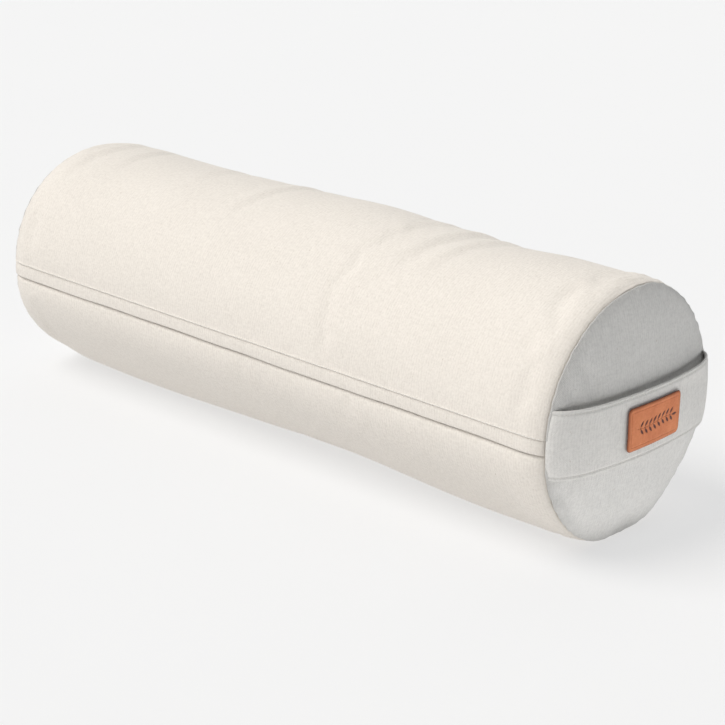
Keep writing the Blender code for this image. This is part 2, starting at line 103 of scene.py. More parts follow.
STRAP_PLUMP, PLUMP_HALF = 0.0034, 0.055
GAP_DENT, GAP_DENT_HALF, GAP_DENT_BELOW = 0.0030, 0.0044, 0.0022
REAR_SLUMP = 0.060
FRONT_RIM_BACK, REAR_RIM_BACK = 0.0004, 0.0022
PUCKER_REACH, PUCKER = 0.011, 0.00042
TOP_GATHER, GATHER_PITCH = 0.0012, 0.0078
ROW_STEP = 0.0037
HAIR = 0.00005
LEAST_SLOPE = 0.2
FLOOR_TURN = 90.0
FLOOR_GAP = 0.0002
SHARP_EDGE = radians(50)


# ---- The swelling of the stuffed cover. ----

def smooth_step(value, start, end):
    """Goes from 0 at start to 1 at end, with a soft turn at both."""
    share = np.clip((value - start) / (end - start), 0, 1)
    return share * share * (3 - 2 * share)


def turn_from(turn, other):
    """The smallest turn from one angle to the other, for a number or an array."""
    return (turn - other + pi) % (2 * pi) - pi


def hump(distance, half_width):
    """A smooth rise that is 1 in the middle and 0 past its half width."""
    return np.where(np.abs(distance) < half_width, 0.5 + 0.5 * np.cos(pi * distance / half_width), 0.0)


def bell(distance, width=1):
    """A rounded peak that is 1 in the middle and fades away to both sides."""
    return np.exp(-((distance / width) ** 2))


def seam_inset(x):
    """Distance in from the nearer end seam."""
    return np.minimum(x - REAR_SEAM, FRONT_SEAM - x)


def share_along(x):
    """0 at the rear end seam and 1 at the front one."""
    return (x - REAR_SEAM) / (FRONT_SEAM - REAR_SEAM)


def seam_at(side):
    return FRONT_SEAM if side > 0 else REAR_SEAM


def full_turn(count):
    return np.linspace(0, 2 * pi, count, endpoint=False)


def paired(first, second):
    return np.stack(np.broadcast_arrays(first, second), -1)


def placed(x, turn, radius):
    """Points at a distance from the axis, at a turn up from the placket's side."""
    x, turn, radius = np.broadcast_arrays(x, turn, radius)
    return np.stack([x, -radius * np.cos(turn), AXIS_Z + radius * np.sin(turn)], -1)


def linked(name, data):
    made = bpy.data.objects.new(name, data)
    bpy.context.scene.collection.objects.link(made)
    return made


def pressed_round(radius, turn):
    """A round whose underside lies flat, with a soft turn where it leaves the floor."""
    from_down = turn_from(turn, -pi / 2)
    flat = (radius - (RADIUS - AXIS_Z)) / np.maximum(np.cos(from_down), LEAST_SLOPE)
    return (radius**-FLOOR_TURN + flat**-FLOOR_TURN) ** (-1 / FLOOR_TURN)


def section_scale(x):
    """How far the cover draws in on its way to an end seam."""
    share = np.clip(1 - seam_inset(x) / SHOULDER, 0, 1)
    return 1 - (1 - SEAM_RADIUS / RADIUS) * share * share


def ripples(value, counts, seed):
    """A smooth wandering line that closes on itself when value runs over one full turn."""
    rng = np.random.default_rng(seed)
    total = np.zeros_like(np.asarray(value, float))
    for count in counts:
        total = total + rng.uniform(0.5, 1.0) * np.cos(count * value + rng.uniform(0, 2 * pi))
    return total / sqrt(len(counts))


# Broad rises and hollows of the stuffing: x in metres, degrees, half length in mm, half width in degrees,
# rise in mm.
HOLLOWS = (
    (-0.200, 108, 165, 62, -4.6),
    (0.035, 108, 85, 55, 2.6),
    (0.180, 108, 65, 55, -3.0),
    (0.326, 108, 60, 52, 1.3),
    (0.045, -61, 225, 38, -5.0),
    (0.350, 228, 70, 38, -6.2),
)


def broad_shape(x, turn):
    """Where the stuffing has settled or packed, hand by hand, and where the rear end has slumped."""
    total = np.zeros(np.broadcast(x, turn).shape)
    for x_middle, turn_middle, half_length, half_width, rise in HOLLOWS:
        across = hump(turn_from(turn, radians(turn_middle)), radians(half_width))
        total = total + rise / 1000 * hump(x - x_middle, half_length / 1000) * across
    rear = 0.0052 * hump(turn_from(turn, radians(108)), radians(84))
    rear = rear + 0.0058 * hump(turn_from(turn, radians(-68)), radians(52))
    return total - rear * np.clip(1 - (x - REAR_SEAM) / REAR_SLUMP, 0, 1) ** 2


# Soft folds in the cloth: from (x, degrees) to (x, degrees), half width and depth in millimetres.
FOLDS = (
    (-0.058, 112, -0.078, 56, 6.5, 0.9),
    (0.149, 116, 0.129, 56, 7.5, 1.1),
    (0.176, 112, 0.160, 60, 6.5, 0.9),
    (0.108, 116, 0.093, 70, 6.0, 0.6),
    (-0.253, 108, -0.246, 66, 6.0, 0.8),
    (-0.286, 104, -0.294, 54, 7.0, 0.9),
    (-0.153, 110, -0.150, 72, 7.0, 0.5),
    (0.070, 205, 0.092, 150, 8.0, 1.0),
    (-0.120, 215, -0.136, 165, 7.5, 0.9),
    (0.215, 228, 0.198, 178, 7.0, 0.8),
    (-0.225, 160, -0.240, 122, 7.0, 0.7),
)
FOLD_GAIN = 1.6


def fold_depths(x, turn):
    """The soft folds, each a shallow valley with a low ridge along one side."""
    total = np.zeros(np.broadcast(x, turn).shape)
    for x_start, turn_start, x_end, turn_end, half_width, depth in FOLDS:
        start = np.array((x_start, radians(turn_start) * RADIUS))
        end = np.array((x_end, radians(turn_end) * RADIUS))
        length = np.linalg.norm(end - start)
        along = (end - start) / length
        dx = x - start[0]
        dt = turn_from(turn, radians(turn_start)) * RADIUS
        share = (dx * along[0] + dt * along[1]) / length
        across = (dx * along[1] - dt * along[0]) * 1000 / half_width
        across = across + 0.35 * np.sin(5 * share)
        window = smooth_step(share, -0.25, 0.25) * (1 - smooth_step(share, 0.6, 1.15))
        shape = 0.75 * bell(across - 1.7) - bell(across)
        total = total + FOLD_GAIN * depth / 1000 * window * shape
    return total


def seam_puckers(x, turn):
    """Small gathers that run from each end seam into the cover."""
    rear = np.exp(-(x - REAR_SEAM) / PUCKER_REACH) * ripples(turn, range(38, 74, 3), 5)
    front = np.exp(-(FRONT_SEAM - x) / PUCKER_REACH) * ripples(turn, range(38, 74, 3), 6)
    near_end = smooth_step(x, FRONT_SEAM - 0.034, FRONT_SEAM - 0.008)
    gathers = hump(turn_from(turn, radians(98)), radians(34)) * near_end
    rolls = np.sin(2 * pi * (x - FRONT_SEAM) / GATHER_PITCH + 5 * turn)
    return PUCKER * (rear + front) + TOP_GATHER * gathers * rolls


LONG_STEPS, ROUND_STEPS, DOME_STEPS = 150, 160, 24


def dome_rise(share):
    """How far an end bulges past its seam at a share of the seam's radius."""
    inset = (1 - share) * SEAM_RADIUS
    return DOME * (1 - share**DOME_POWER) * DOME_FILL + RIM_STEP * (1 - np.exp(-inset / RIM_STEP_REACH))


def form_points():
    """The closed stuffed form: rings of the rear end, the tube and the front end."""
    turns = full_turn(ROUND_STEPS)
    shares = np.linspace(0, 1, DOME_STEPS + 1)[1:-1]
    rim = pressed_round(RADIUS, turns)
    rings = [(REAR_SEAM - dome_rise(share), share * rim * SEAM_RADIUS / RADIUS) for share in shares]
    rings += [(x, rim * section_scale(x)) for x in np.linspace(REAR_SEAM, FRONT_SEAM, LONG_STEPS + 1)]
    rings += [(FRONT_SEAM + dome_rise(share), share * rim * SEAM_RADIUS / RADIUS) for share in shares[::-1]]
    return np.array([placed(x, turns, radius) for x, radius in rings]), len(shares)


def closed_form(points):
    """One closed shell through the rings, with a point at the tip of each end."""
    rows, columns = points.shape[:2]
    ids = np.arange(rows * columns).reshape(rows, columns)
    ids = np.hstack([ids, ids[:, :1]])
    faces = np.stack([ids[:-1, :-1], ids[1:, :-1], ids[1:, 1:], ids[:-1, 1:]], -1).reshape(-1, 4).tolist()
    tips = [(points[0, 0, 0], 0, AXIS_Z), (points[-1, 0, 0], 0, AXIS_Z)]
    rear, front = rows * columns, rows * columns + 1
    faces += [(rear, a, b) for a, b in zip(ids[0, :-1].tolist(), ids[0, 1:].tolist())]
    faces += [(front, b, a) for a, b in zip(ids[-1, :-1].tolist(), ids[-1, 1:].tolist())]
    mesh = bpy.data.meshes.new("stuffed_form")
    mesh.from_pydata(points.reshape(-1, 3).tolist() + tips, [], faces)
    return linked("stuffed_form", mesh)


def blown_up():
    """Blows the sewn cover up over its pinned seams: how far its tube, rear and front are pushed out."""
    points, dome_rows = form_points()
    form = closed_form(points)
    seams = form.vertex_groups.new(name="seams")
    for row in (dome_rows, dome_rows + LONG_STEPS):
        seams.add(list(range(row * ROUND_STEPS, (row + 1) * ROUND_STEPS)), 1.0, "REPLACE")
    cloth = form.modifiers.new("stuffing", "CLOTH")
    for setting, value in (
        ("quality", 5), ("mass", 0.3), ("tension_stiffness", 12), ("compression_stiffness", 12),
        ("shear_stiffness", 5), ("bending_stiffness", 0.4), ("use_pressure", True),
        ("uniform_pressure_force", 4), ("shrink_min", -0.025), ("vertex_group_mass", seams.name),
    ):
        setattr(cloth.settings, setting, value)
    cloth.settings.effector_weights.gravity = 0
    for step in range(1, 21):
        bpy.context.scene.frame_set(step)
    graph = bpy.context.evaluated_depsgraph_get()
    mesh = form.evaluated_get(graph).to_mesh()
    blown = np.empty(len(mesh.vertices) * 3)
    mesh.vertices.foreach_get("co", blown)
    blown = blown.reshape(-1, 3)[:-2].reshape(points.shape)
    form.evaluated_get(graph).to_mesh_clear()
    bpy.context.scene.frame_set(1)
    bpy.data.objects.remove(form)
    before, after = (np.hypot(rings[..., 1], rings[..., 2] - AXIS_Z) for rings in (points, blown))
    out = after - before
    rise = blown[..., 0] - points[..., 0]
    tube = out[dome_rows:-dome_rows]
    return tube, -rise[:dome_rows], rise[-dome_rows:][::-1]


MOST_OUT = 0.0022
BLOWN_TUBE, BLOWN_REAR, BLOWN_FRONT = blown_up()


def held_in(field, share):
    """Keeps the detail of a blown-up field, and holds back how far the cloth may move."""
    calm = field - field.mean(axis=1, keepdims=True) * (1 - share)
    return MOST_OUT * np.tanh(calm / MOST_OUT)


BLOWN_TUBE = held_in(BLOWN_TUBE, 0.25)
BLOWN_REAR = held_in(BLOWN_REAR, 0.25)
BLOWN_FRONT = held_in(BLOWN_FRONT, 0.25)


def looked_up(field, row, turn):
    """Reads a field between its points with a soft cubic, round in turn and up to the ends in row."""
    rows, columns = field.shape
    row, turn = np.broadcast_arrays(np.asarray(row, float), np.asarray(turn, float))
    column = (turn % (2 * pi)) / (2 * pi) * columns
    r0, c0 = np.floor(row).astype(int), np.floor(column).astype(int)
    total = np.zeros(row.shape)
    fr, fc = row - r0, column - c0

    def weights(t):
        return ((1 - t) ** 3 / 6, (3 * t**3 - 6 * t**2 + 4) / 6,
                (-3 * t**3 + 3 * t**2 + 3 * t + 1) / 6, t**3 / 6)

    for i, weight_r in enumerate(weights(fr)):
        for j, weight_c in enumerate(weights(fc)):
            near = field[np.clip(r0 + i - 1, 0, rows - 1), (c0 + j - 1) % columns]
            total = total + weight_r * weight_c * near
    return total


def swell(x, turn):
    """How far the cover's outer face stands out from its plain round."""
    along = share_along(x)
    free = smooth_step(seam_inset(x), 0.0, 0.05)
    slow = 0.0008 * np.sin(2 * pi * (1.15 * along + 0.1)) * (0.6 + 0.4 * np.cos(turn - 1.6))
    slow = slow + 0.00035 * np.sin(2 * pi * (3.3 * along) + 2 * turn)
    total = looked_up(BLOWN_TUBE, along * LONG_STEPS, turn) + free * slow
    total = total + fold_depths(x, turn) + seam_puckers(x, turn)
    calm = 1 - FLAP_CALM * hump(turn_from(turn, 0) * RADIUS, FLAP_CALM_HALF)
    return total * calm


def cover_radius(x, turn):
    """Distance of the cover's outer face from the pillow's axis."""
    radius = pressed_round(RADIUS, turn) * section_scale(x) + swell(x, turn) + broad_shape(x, turn)
    floor = (AXIS_Z - FLOOR_GAP) / np.maximum(-np.sin(turn), LEAST_SLOPE)
    return np.minimum(radius, floor)


def lip_depth(turns):
    """How far the cloth under the flap lies back, to make room for the flap."""
    from_edge = turn_from(turns, FLAP_EDGE)
    steep = (LIP_DEPTH - LIP_SOFT) * smooth_step(from_edge, radians(-2.6), radians(-0.2))
    soft = LIP_SOFT * smooth_step(from_edge, radians(-9), radians(-0.5))
    return np.where(from_edge < HINGE_ANGLE - FLAP_EDGE, steep + soft, 0.0)


# ---- Making pieces. ----

def cloth_piece(name, grid, flat, material, closed=False, flip=False, painted_shade_and_seam_tint=None):
    """A smooth cloth face through a grid of points, which keeps its flat measure as a UV map."""
    rows, columns = grid.shape[:2]
    ids = np.arange(rows * columns).reshape(rows, columns)
    uv_ids = np.arange(flat.shape[0] * flat.shape[1]).reshape(flat.shape[:2])
    if closed:
        ids = np.hstack([ids, ids[:, :1]])
    corners = [(slice(None, -1), slice(None, -1)), (slice(1, None), slice(None, -1)),
               (slice(1, None), slice(1, None)), (slice(None, -1), slice(1, None))]
    if flip:
        corners.reverse()
    faces = np.stack([ids[corner] for corner in corners], -1).reshape(-1, 4)
    loops = np.stack([uv_ids[corner] for corner in corners], -1).reshape(-1)
    mesh = bpy.data.meshes.new(name)
    mesh.from_pydata(grid.reshape(-1, 3).tolist(), [], faces.tolist())
    layer = mesh.uv_layers.new(name="flat")
    layer.data.foreach_set("uv", flat.reshape(-1, 2)[loops].astype(np.float32).ravel())
    if painted_shade_and_seam_tint is not None:
        mark = mesh.attributes.new("painted_shade_and_seam_tint", "FLOAT", "POINT")
        mark.data.foreach_set("value", np.asarray(painted_shade_and_seam_tint, np.float32).ravel())
    mesh.materials.append(material)
    mesh.shade_smooth()
    return linked(name, mesh)


def with_thickness(piece, thickness):
    """Gives a cloth face its thickness, inwards."""
    wall = piece.modifiers.new("cloth thickness", "SOLIDIFY")
    wall.thickness = thickness
    wall.offset = -1
    wall.use_even_offset = False
    bpy.context.view_layer.objects.active = piece
    bpy.ops.object.modifier_apply(modifier=wall.name)
    return piece


def run_lengths(grid, axis):
    """Distance along the rows or columns of a grid, from its first line."""
    steps = np.linalg.norm(np.diff(grid, axis=axis), axis=-1)
    steps = np.insert(np.cumsum(steps, axis=axis), 0, 0, axis=axis)
    return steps


def repeated(name, master, places):
    """Copies of one master laid at each place, joined into one piece."""
    made = []
    for i, place in enumerate(places):
        mesh = master.data.copy()
        mesh.transform(place)
        made.append(linked(f"{name}_{i}", mesh))
    bpy.data.objects.remove(master)
    return joined(made, name)


def facing(x_axis, y_axis, z_axis):
    return Matrix((x_axis, y_axis, z_axis)).transposed().to_4x4()


def only(piece):
    bpy.ops.object.select_all(action="DESELECT")
    bpy.context.view_layer.objects.active = piece
    piece.select_set(True)


def mode(name):
    bpy.ops.object.mode_set(mode=name)


def pick_points(piece, picked):
    """Selects the points for which picked says so, and leaves the piece in edit mode."""
    mode("EDIT")
    bpy.ops.mesh.select_mode(type="VERT")
    bpy.ops.mesh.select_all(action="DESELECT")
    mode("OBJECT")
    for vertex in piece.data.vertices:
        vertex.select = picked(vertex)
    mode("EDIT")


def closed_middle(piece, count, first=False):
    """Merges the last or the first ring of a round piece into its middle point."""
    only(piece)
    last = len(piece.data.vertices) - count
    pick_points(piece, lambda vertex: vertex.index < count if first else vertex.index >= last)
    bpy.ops.mesh.merge(type="CENTER")
    mode("OBJECT")


def closed_ends(piece):
    """Fills the two open ends of a folded strip and keeps their edges crisp."""
    only(piece)
    mode("EDIT")
    bpy.ops.mesh.select_all(action="SELECT")
    bpy.ops.mesh.fill_holes(sides=0)
    bpy.ops.mesh.normals_make_consistent(inside=False)
    mode("OBJECT")
    piece.data.set_sharp_from_angle(angle=SHARP_EDGE)
    piece.select_set(False)
    return piece


def joined(pieces, name):
    """Joins copies into one piece."""
    bpy.ops.object.select_all(action="DESELECT")
    for piece in pieces:
        piece.select_set(True)
    bpy.context.view_layer.objects.active = pieces[0]
    bpy.ops.object.join()
    pieces[0].name = name
    pieces[0].data.name = name
    bpy.ops.object.select_all(action="DESELECT")
    return pieces[0]


# ---- Finishes. ----

def node(tree, kind, inputs=None, **settings):
    made = tree.nodes.new(kind)
    for key, value in settings.items():
        setattr(made, key, value)
    for key, value in (inputs or {}).items():
        if isinstance(value, bpy.types.NodeSocket):
            tree.links.new(value, made.inputs[key])
        else:
            made.inputs[key].default_value = value
    return made


def value_of(tree, operation, first, second=0.0, third=0.0):
    made = node(tree, "ShaderNodeMath", {0: first, 1: second, 2: third}, operation=operation)
    return made.outputs[0]


def mixed(tree, share, first, second):
    """Goes from the first colour to the second by a share."""
    first, second = ((*colour, 1) if isinstance(colour, tuple) else colour for colour in (first, second))
    return node(tree, "ShaderNodeMix", {0: share, 6: first, 7: second}, data_type="RGBA").outputs[2]


def noise(tree, place, scale, detail=2.0, rough=0.5, stretch=(1, 1, 1)):
    mapping = node(tree, "ShaderNodeMapping", {"Vector": place, "Scale": stretch})
    made = node(tree, "ShaderNodeTexNoise", {"Vector": mapping.outputs[0], "Scale": scale,
                                              "Detail": detail, "Roughness": rough})
    return made.outputs[0]


def ribs(tree, place, scale, direction, distortion=0.0):
    """Even ribs, as yarns lie side by side."""
    return node(tree, "ShaderNodeTexWave", {"Vector": place, "Scale": scale, "Distortion": distortion},
                bands_direction=direction).outputs[1]


def own_place(tree):
    return node(tree, "ShaderNodeTexCoord").outputs["Object"]


def spread_out(tree, value, low, high, to_low=0.0, to_high=1.0):
    made = node(tree, "ShaderNodeMapRange", {0: value, 1: low, 2: high, 3: to_low, 4: to_high})
    return made.outputs[0]


def finish(name, metallic=0.0):
    material = bpy.data.materials.new(name)
    material.use_nodes = True
    tree = material.node_tree
    shader = tree.nodes["Principled BSDF"]
    shader.inputs["Metallic"].default_value = metallic
    return material, tree, shader


def shaded(tree, shader, colour, roughness, height=None, distance=0.0004, strength=0.6):
    tree.links.new(colour, shader.inputs["Base Color"])
    tree.links.new(roughness, shader.inputs["Roughness"])
    if height is not None:
        bump = node(tree, "ShaderNodeBump", {"Height": height, "Distance": distance, "Strength": strength})
        tree.links.new(bump.outputs[0], shader.inputs["Normal"])


RIBS_PER_METRE = 0.31416  # the wave pattern's own scale for one rib a metre


def woven(name, light, dark, yarn=0.0013, seed=0.0, relief=0.6, on_side=False):
    """Unbleached plain weave: yarns over and under, thick and thin places, and a few seed flecks."""
    material, tree, shader = finish(name)
    shader.inputs["Sheen Weight"].default_value = 0.25
    shader.inputs["Sheen Roughness"].default_value = 0.45
    shader.inputs["Specular IOR Level"].default_value = 0.25
    if on_side:
        flat = node(tree, "ShaderNodeMapping",
                    {"Vector": own_place(tree), "Rotation": (-pi / 2, 0, 0)}).outputs[0]
    else:
        flat = node(tree, "ShaderNodeUVMap", uv_map="flat").outputs[0]
    flat = node(tree, "ShaderNodeMapping", {"Vector": flat, "Location": (seed, seed * 1.7, seed)}).outputs[0]
    wander = noise(tree, flat, 160, 2)
    shift = node(tree, "ShaderNodeCombineXYZ", {"X": value_of(tree, "MULTIPLY", wander, 0.0012),
                                                "Y": value_of(tree, "MULTIPLY", wander, 0.0009)}).outputs[0]
    sway = node(tree, "ShaderNodeVectorMath", {0: flat, 1: shift}, operation="ADD").outputs[0]
    bands = RIBS_PER_METRE / yarn
    warp, weft = ribs(tree, sway, bands, "X"), ribs(tree, sway, bands * 0.9, "Y")
    pairs = ribs(tree, sway, bands / 2, "X")
    over, under = (value_of(tree, "SUBTRACT", yarns, 0.5) for yarns in (warp, weft))
    weave = value_of(tree, "MULTIPLY", over, under)
    weave = value_of(tree, "MULTIPLY_ADD", weave, 2.0, 0.5)
    slub = noise(tree, flat, 1.0, 2, 0.55, (620, 110, 1))
    cross_slub = noise(tree, flat, 1.0, 2, 0.55, (120, 640, 1))
    grain = noise(tree, flat, 1.0, 2, 0.6, (560, 400, 1))
    mottle = noise(tree, flat, 14, 3, 0.55)
    fuzz = noise(tree, flat, 1900, 2)
    fleck = spread_out(tree, noise(tree, flat, 1.0, 1, 0.4, (430, 260, 1)), 0.76, 0.84)
    # A point attribute darkens the cloth here: painted shade under the flap's lower edge, on the flap's fold
    # and along the strap's edges and stitch rows, and darker along the end seams.
    painted_shade_and_seam_tint = node(tree, "ShaderNodeAttribute", attribute_name="painted_shade_and_seam_tint").outputs["Fac"]
    tone = value_of(tree, "SUBTRACT", value_of(tree, "MULTIPLY", weave, 0.4), 1.24)
    for part, share in ((slub, 0.9), (cross_slub, 0.6), (grain, 1.5), (mottle, 0.3), (pairs, 0.18)):
        tone = value_of(tree, "MULTIPLY_ADD", part, share, tone)
    colour = mixed(tree, node(tree, "ShaderNodeClamp", {"Value": tone}).outputs[0], dark, light)
    colour = mixed(tree, value_of(tree, "MULTIPLY", fleck, 0.35), colour, (0.30, 0.20, 0.11))
    # Where that attribute is high, the colour goes towards this deeper tone: painted shade, and darker along
    # the end seams.
    shade_and_seam_tone = tuple(0.70 * channel for channel in dark)
    colour = mixed(tree, value_of(tree, "MULTIPLY", painted_shade_and_seam_tint, 0.6), colour, shade_and_seam_tone)
    rough = spread_out(tree, slub, 0.3, 0.7, 0.84, 0.96)
    height = weave
    for part, share in ((slub, 0.6), (cross_slub, 0.4), (pairs, 0.3), (fuzz, 0.35)):
        height = value_of(tree, "MULTIPLY_ADD", part, share, height)
    shaded(tree, shader, colour, rough, height, 0.00045, relief)
    return material


def spun(name, light, dark, turns=1500):
    """Sewing thread: two plies twisted round each other, drawn on the piece's own place."""
    material, tree, shader = finish(name)
    shader.inputs["Sheen Weight"].default_value = 0.2
    place = own_place(tree)
    ply = ribs(tree, place, turns / 6.3, "DIAGONAL", 0.6)
    lint = noise(tree, place, 900, 3)
    colour = mixed(tree, value_of(tree, "MULTIPLY", ply, lint), dark, light)
    shaded(tree, shader, colour, spread_out(tree, lint, 0.3, 0.7, 0.6, 0.85), ply, 0.0001, 0.5)
    return material


def tanned(name):
    """Vegetable-tanned leather: fine pores, cloudy dye, and edges and mark burnt dark."""
    material, tree, shader = finish(name)
    shader.inputs["Specular IOR Level"].default_value = 0.4
    place = own_place(tree)
    burn = node(tree, "ShaderNodeAttribute", attribute_name="burn").outputs["Fac"]
    cloud = noise(tree, place, 70, 4, 0.6)
    pores = node(tree, "ShaderNodeTexVoronoi", {"Vector": place, "Scale": 1500}, feature="F1").outputs[0]
    creases = noise(tree, place, 420, 6, 0.65)
    base = mixed(tree, spread_out(tree, cloud, 0.3, 0.7), (0.64, 0.185, 0.064), (0.78, 0.27, 0.105))
    base = mixed(tree, spread_out(tree, creases, 0.35, 0.75, 0.0, 0.25), base, (0.42, 0.125, 0.045))
    colour = mixed(tree, burn, base, (0.095, 0.022, 0.012))
    rough = spread_out(tree, creases, 0.3, 0.7, 0.48, 0.66)
    height = value_of(tree, "MULTIPLY_ADD", pores, 0.35, creases)
    shaded(tree, shader, colour, rough, height, 0.0003, 0.45)
    return material


def moulded(name, light, dark):
    """Milky nylon coil."""
    material, tree, shader = finish(name)
    shader.inputs["Subsurface Weight"].default_value = 0.1
    shader.inputs["Subsurface Scale"].default_value = 0.001
    place = own_place(tree)
    cloud = noise(tree, place, 300, 3)
    colour = mixed(tree, cloud, dark, light)
    rough = spread_out(tree, cloud, 0.3, 0.7, 0.30, 0.48)
    shaded(tree, shader, colour, rough, noise(tree, place, 2600, 2), 0.00005, 0.3)
    return material


def cast_metal(name):
    """Dull nickel-plated zinc with fine scratches and rubbed high spots."""
    material, tree, shader = finish(name, 1.0)
    place = own_place(tree)
    rub = noise(tree, place, 240, 4, 0.65)
    scratch = noise(tree, place, 1.0, 2, 0.5, (400, 4200, 4200))
    colour = mixed(tree, rub, (0.42, 0.41, 0.39), (0.66, 0.65, 0.62))
    rough = spread_out(tree, value_of(tree, "ADD", rub, scratch), 0.7, 1.3, 0.24, 0.46)
    shaded(tree, shader, colour, rough, scratch, 0.00006, 0.35)
    return material


def husks(name):
    """Loose grain hulls seen as one mass."""
    material, tree, shader = finish(name)
    place = own_place(tree)
    grains = node(tree, "ShaderNodeTexVoronoi", {"Vector": place, "Scale": 230}, feature="F1")
    tone = noise(tree, place, 40, 4)
    colour = mixed(tree, grains.outputs["Color"], (0.10, 0.055, 0.03), (0.34, 0.22, 0.13))
    colour = mixed(tree, tone, colour, (0.16, 0.10, 0.06))
    height = value_of(tree, "SUBTRACT", 1.0, grains.outputs["Distance"])
    shaded(tree, shader, colour, spread_out(tree, tone, 0.3, 0.7, 0.7, 0.9), height, 0.0015, 0.9)
    return material


body_canvas = woven("unbleached_canvas", (0.88, 0.825, 0.755), (0.72, 0.665, 0.60))
# Both ends use the body's canvas made darker and greyer: painted shade of the front end, which faces away
# from the key light.
end_canvas = woven("unbleached_canvas_painted_end_shade", (0.79, 0.775, 0.745), (0.63, 0.615, 0.59), seed=0.31)
# The strap uses the body's canvas made darker: painted shade of the strap on the shaded front end.
painted_shade_strap_canvas = woven("painted_shade_strap_canvas", (0.82, 0.80, 0.765), (0.66, 0.642, 0.612), seed=0.57)
seam_thread = spun("cream_thread", (0.95, 0.92, 0.87), (0.74, 0.71, 0.66))
tan_thread = spun("tan_thread", (0.40, 0.16, 0.07), (0.20, 0.07, 0.03))
leather = tanned("burnt_edge_leather")
tape_cloth = woven("zip_tape_weave", (0.84, 0.81, 0.76), (0.70, 0.67, 0.62),
                   yarn=0.0005, seed=0.83, relief=0.35, on_side=True)
coil_nylon = moulded("zip_coil_nylon", (0.86, 0.83, 0.78), (0.74, 0.71, 0.66))
zip_zinc = cast_metal("zip_zinc")
liner_cotton = woven("liner_cotton", (0.84, 0.83, 0.80), (0.72, 0.71, 0.68),
                     yarn=0.0004, seed=0.11, relief=0.35)
hull_mass = husks("loose_hulls")


# ---- The cover: one wrap round the body, and a round panel in each end. ----

def seam_stations(step, allowance):
    """Rows along the cover: x and how far the row has sunk, with the cloth turned in at both end seams."""
    turns_in = [(HAIR, SEAM_SINK + allowance), (HAIR, SEAM_SINK + allowance * 0.5)]
    for turn in np.radians((0, 18, 36, 54, 72, 90)):
        turns_in.append((HAIR + SEAM_ROLL * (1 - cos(turn)), SEAM_SINK * (1 - sin(turn))))
    count = round((FRONT_SEAM - REAR_SEAM - 2 * SEAM_ROLL) / step)
    middle = np.linspace(SEAM_ROLL + 0.002, FRONT_SEAM - REAR_SEAM - SEAM_ROLL - 0.002, count)
    rows = [(REAR_SEAM + inset, sink) for inset, sink in turns_in]
    rows += [(REAR_SEAM + inset, 0.0) for inset in middle]
    rows += [(FRONT_SEAM - inset, sink) for inset, sink in reversed(turns_in)]
    return np.array(rows)


# Darker towards each end seam: 1 at the seam, fading over about 4 mm.
def seam_darkening(x):
    return np.exp(-seam_inset(x) / 0.004)


def body_wrap():
    """The wrap from its edge behind the flap's root, over the top and round to its lip under the flap."""
    rows = seam_stations(ROW_STEP, 0.003)
    x, sink = rows[:, :1], rows[:, 1:]
    start = HINGE_ANGLE + (FLAP_BEAD + 0.0001) / RADIUS
    end = 2 * pi + LIP_EDGE
    turned_in = [(start + 0.0001, 0.0016), (start, 0.0006), (start + 0.0006, 0.0001), (start + 0.0022, 0.0)]
    near = [start + 0.0022 + step / RADIUS for step in (0.0005, 0.001, 0.0018, 0.0028, 0.0042, 0.006)]
    count = round((end - near[-1]) * RADIUS / ROW_STEP)
    under = np.array([-9, -6, -4, -2.8, -2.0, -1.3, -0.7, -0.2, 0.3, 1.0, 2.0]) / 1000 / RADIUS
    under = 2 * pi + FLAP_EDGE + under
    far = np.linspace(near[-1], under[0], count)[1:-1]
    far = np.concatenate([far, under, np.linspace(under[-1], end, 4)[1:]])
    turns = np.array([turn for turn, _ in turned_in] + near + list(far))
    drop = np.array([depth for _, depth in turned_in] + [0.0] * (len(near) + len(far)))
    from_edge = (turns - 2 * pi - FLAP_EDGE) * RADIUS
    ridge = 0.00055 * bell((turns - STITCH_ANGLE) * RADIUS, 0.0011)
    groove = 0.0012 * hump(from_edge, 0.0018)
    radius = cover_radius(x, turns) - sink - drop - lip_depth(turns) + ridge - groove
    grid = placed(x, turns, radius)
    lengths = run_lengths(grid[:, grid.shape[1] // 2][:, None], 0)
    flat = paired(lengths, turns * RADIUS)
    # Darker along the end seams, and a painted shadow line on the cloth just under the flap's lower edge.
    painted_shade_and_seam_tint = np.maximum(0.7 * seam_darkening(x), 0.8 * bell(from_edge, 0.0009))
    return with_thickness(cloth_piece("cover_body_wrap", grid, flat, body_canvas, painted_shade_and_seam_tint=painted_shade_and_seam_tint), CANVAS)


def end_profile():
    """Rows of an end panel from its turned-in edge to its middle: x past the seam, share of the rim, sink."""
    rows = [(HAIR, 1.0, SEAM_SINK + 0.003), (HAIR, 1.0, SEAM_SINK + 0.0015)]
    for turn in np.radians((0, 22.5, 45, 67.5)):
        rows.append((HAIR + 0.00135 * (1 - cos(turn)), 1.0, SEAM_SINK * (1 - sin(turn))))
    shares = list(1 - np.linspace(0, 0.06, 9)) + list(np.linspace(0.94, 0.012, 32)[1:])
    rows += [(0.0014, share, 0.0) for share in shares]
    return np.array(rows)


# Soft creases in the end: from (y, z) to (y, z) off its middle, half width and depth, all in millimetres.
END_FOLDS = (
    (-74, 64, -58, 22, 6.0, 1.2),
    (-88, 42, -74, 12, 6.0, 0.9),
    (-88, -40, -66, -80, 5.5, 1.3),
    (-74, -62, -54, -88, 5.0, 1.1),
    (30, 94, 44, 54, 7.0, 0.7),
    (88, -28, 64, -64, 7.0, 1.0),
)


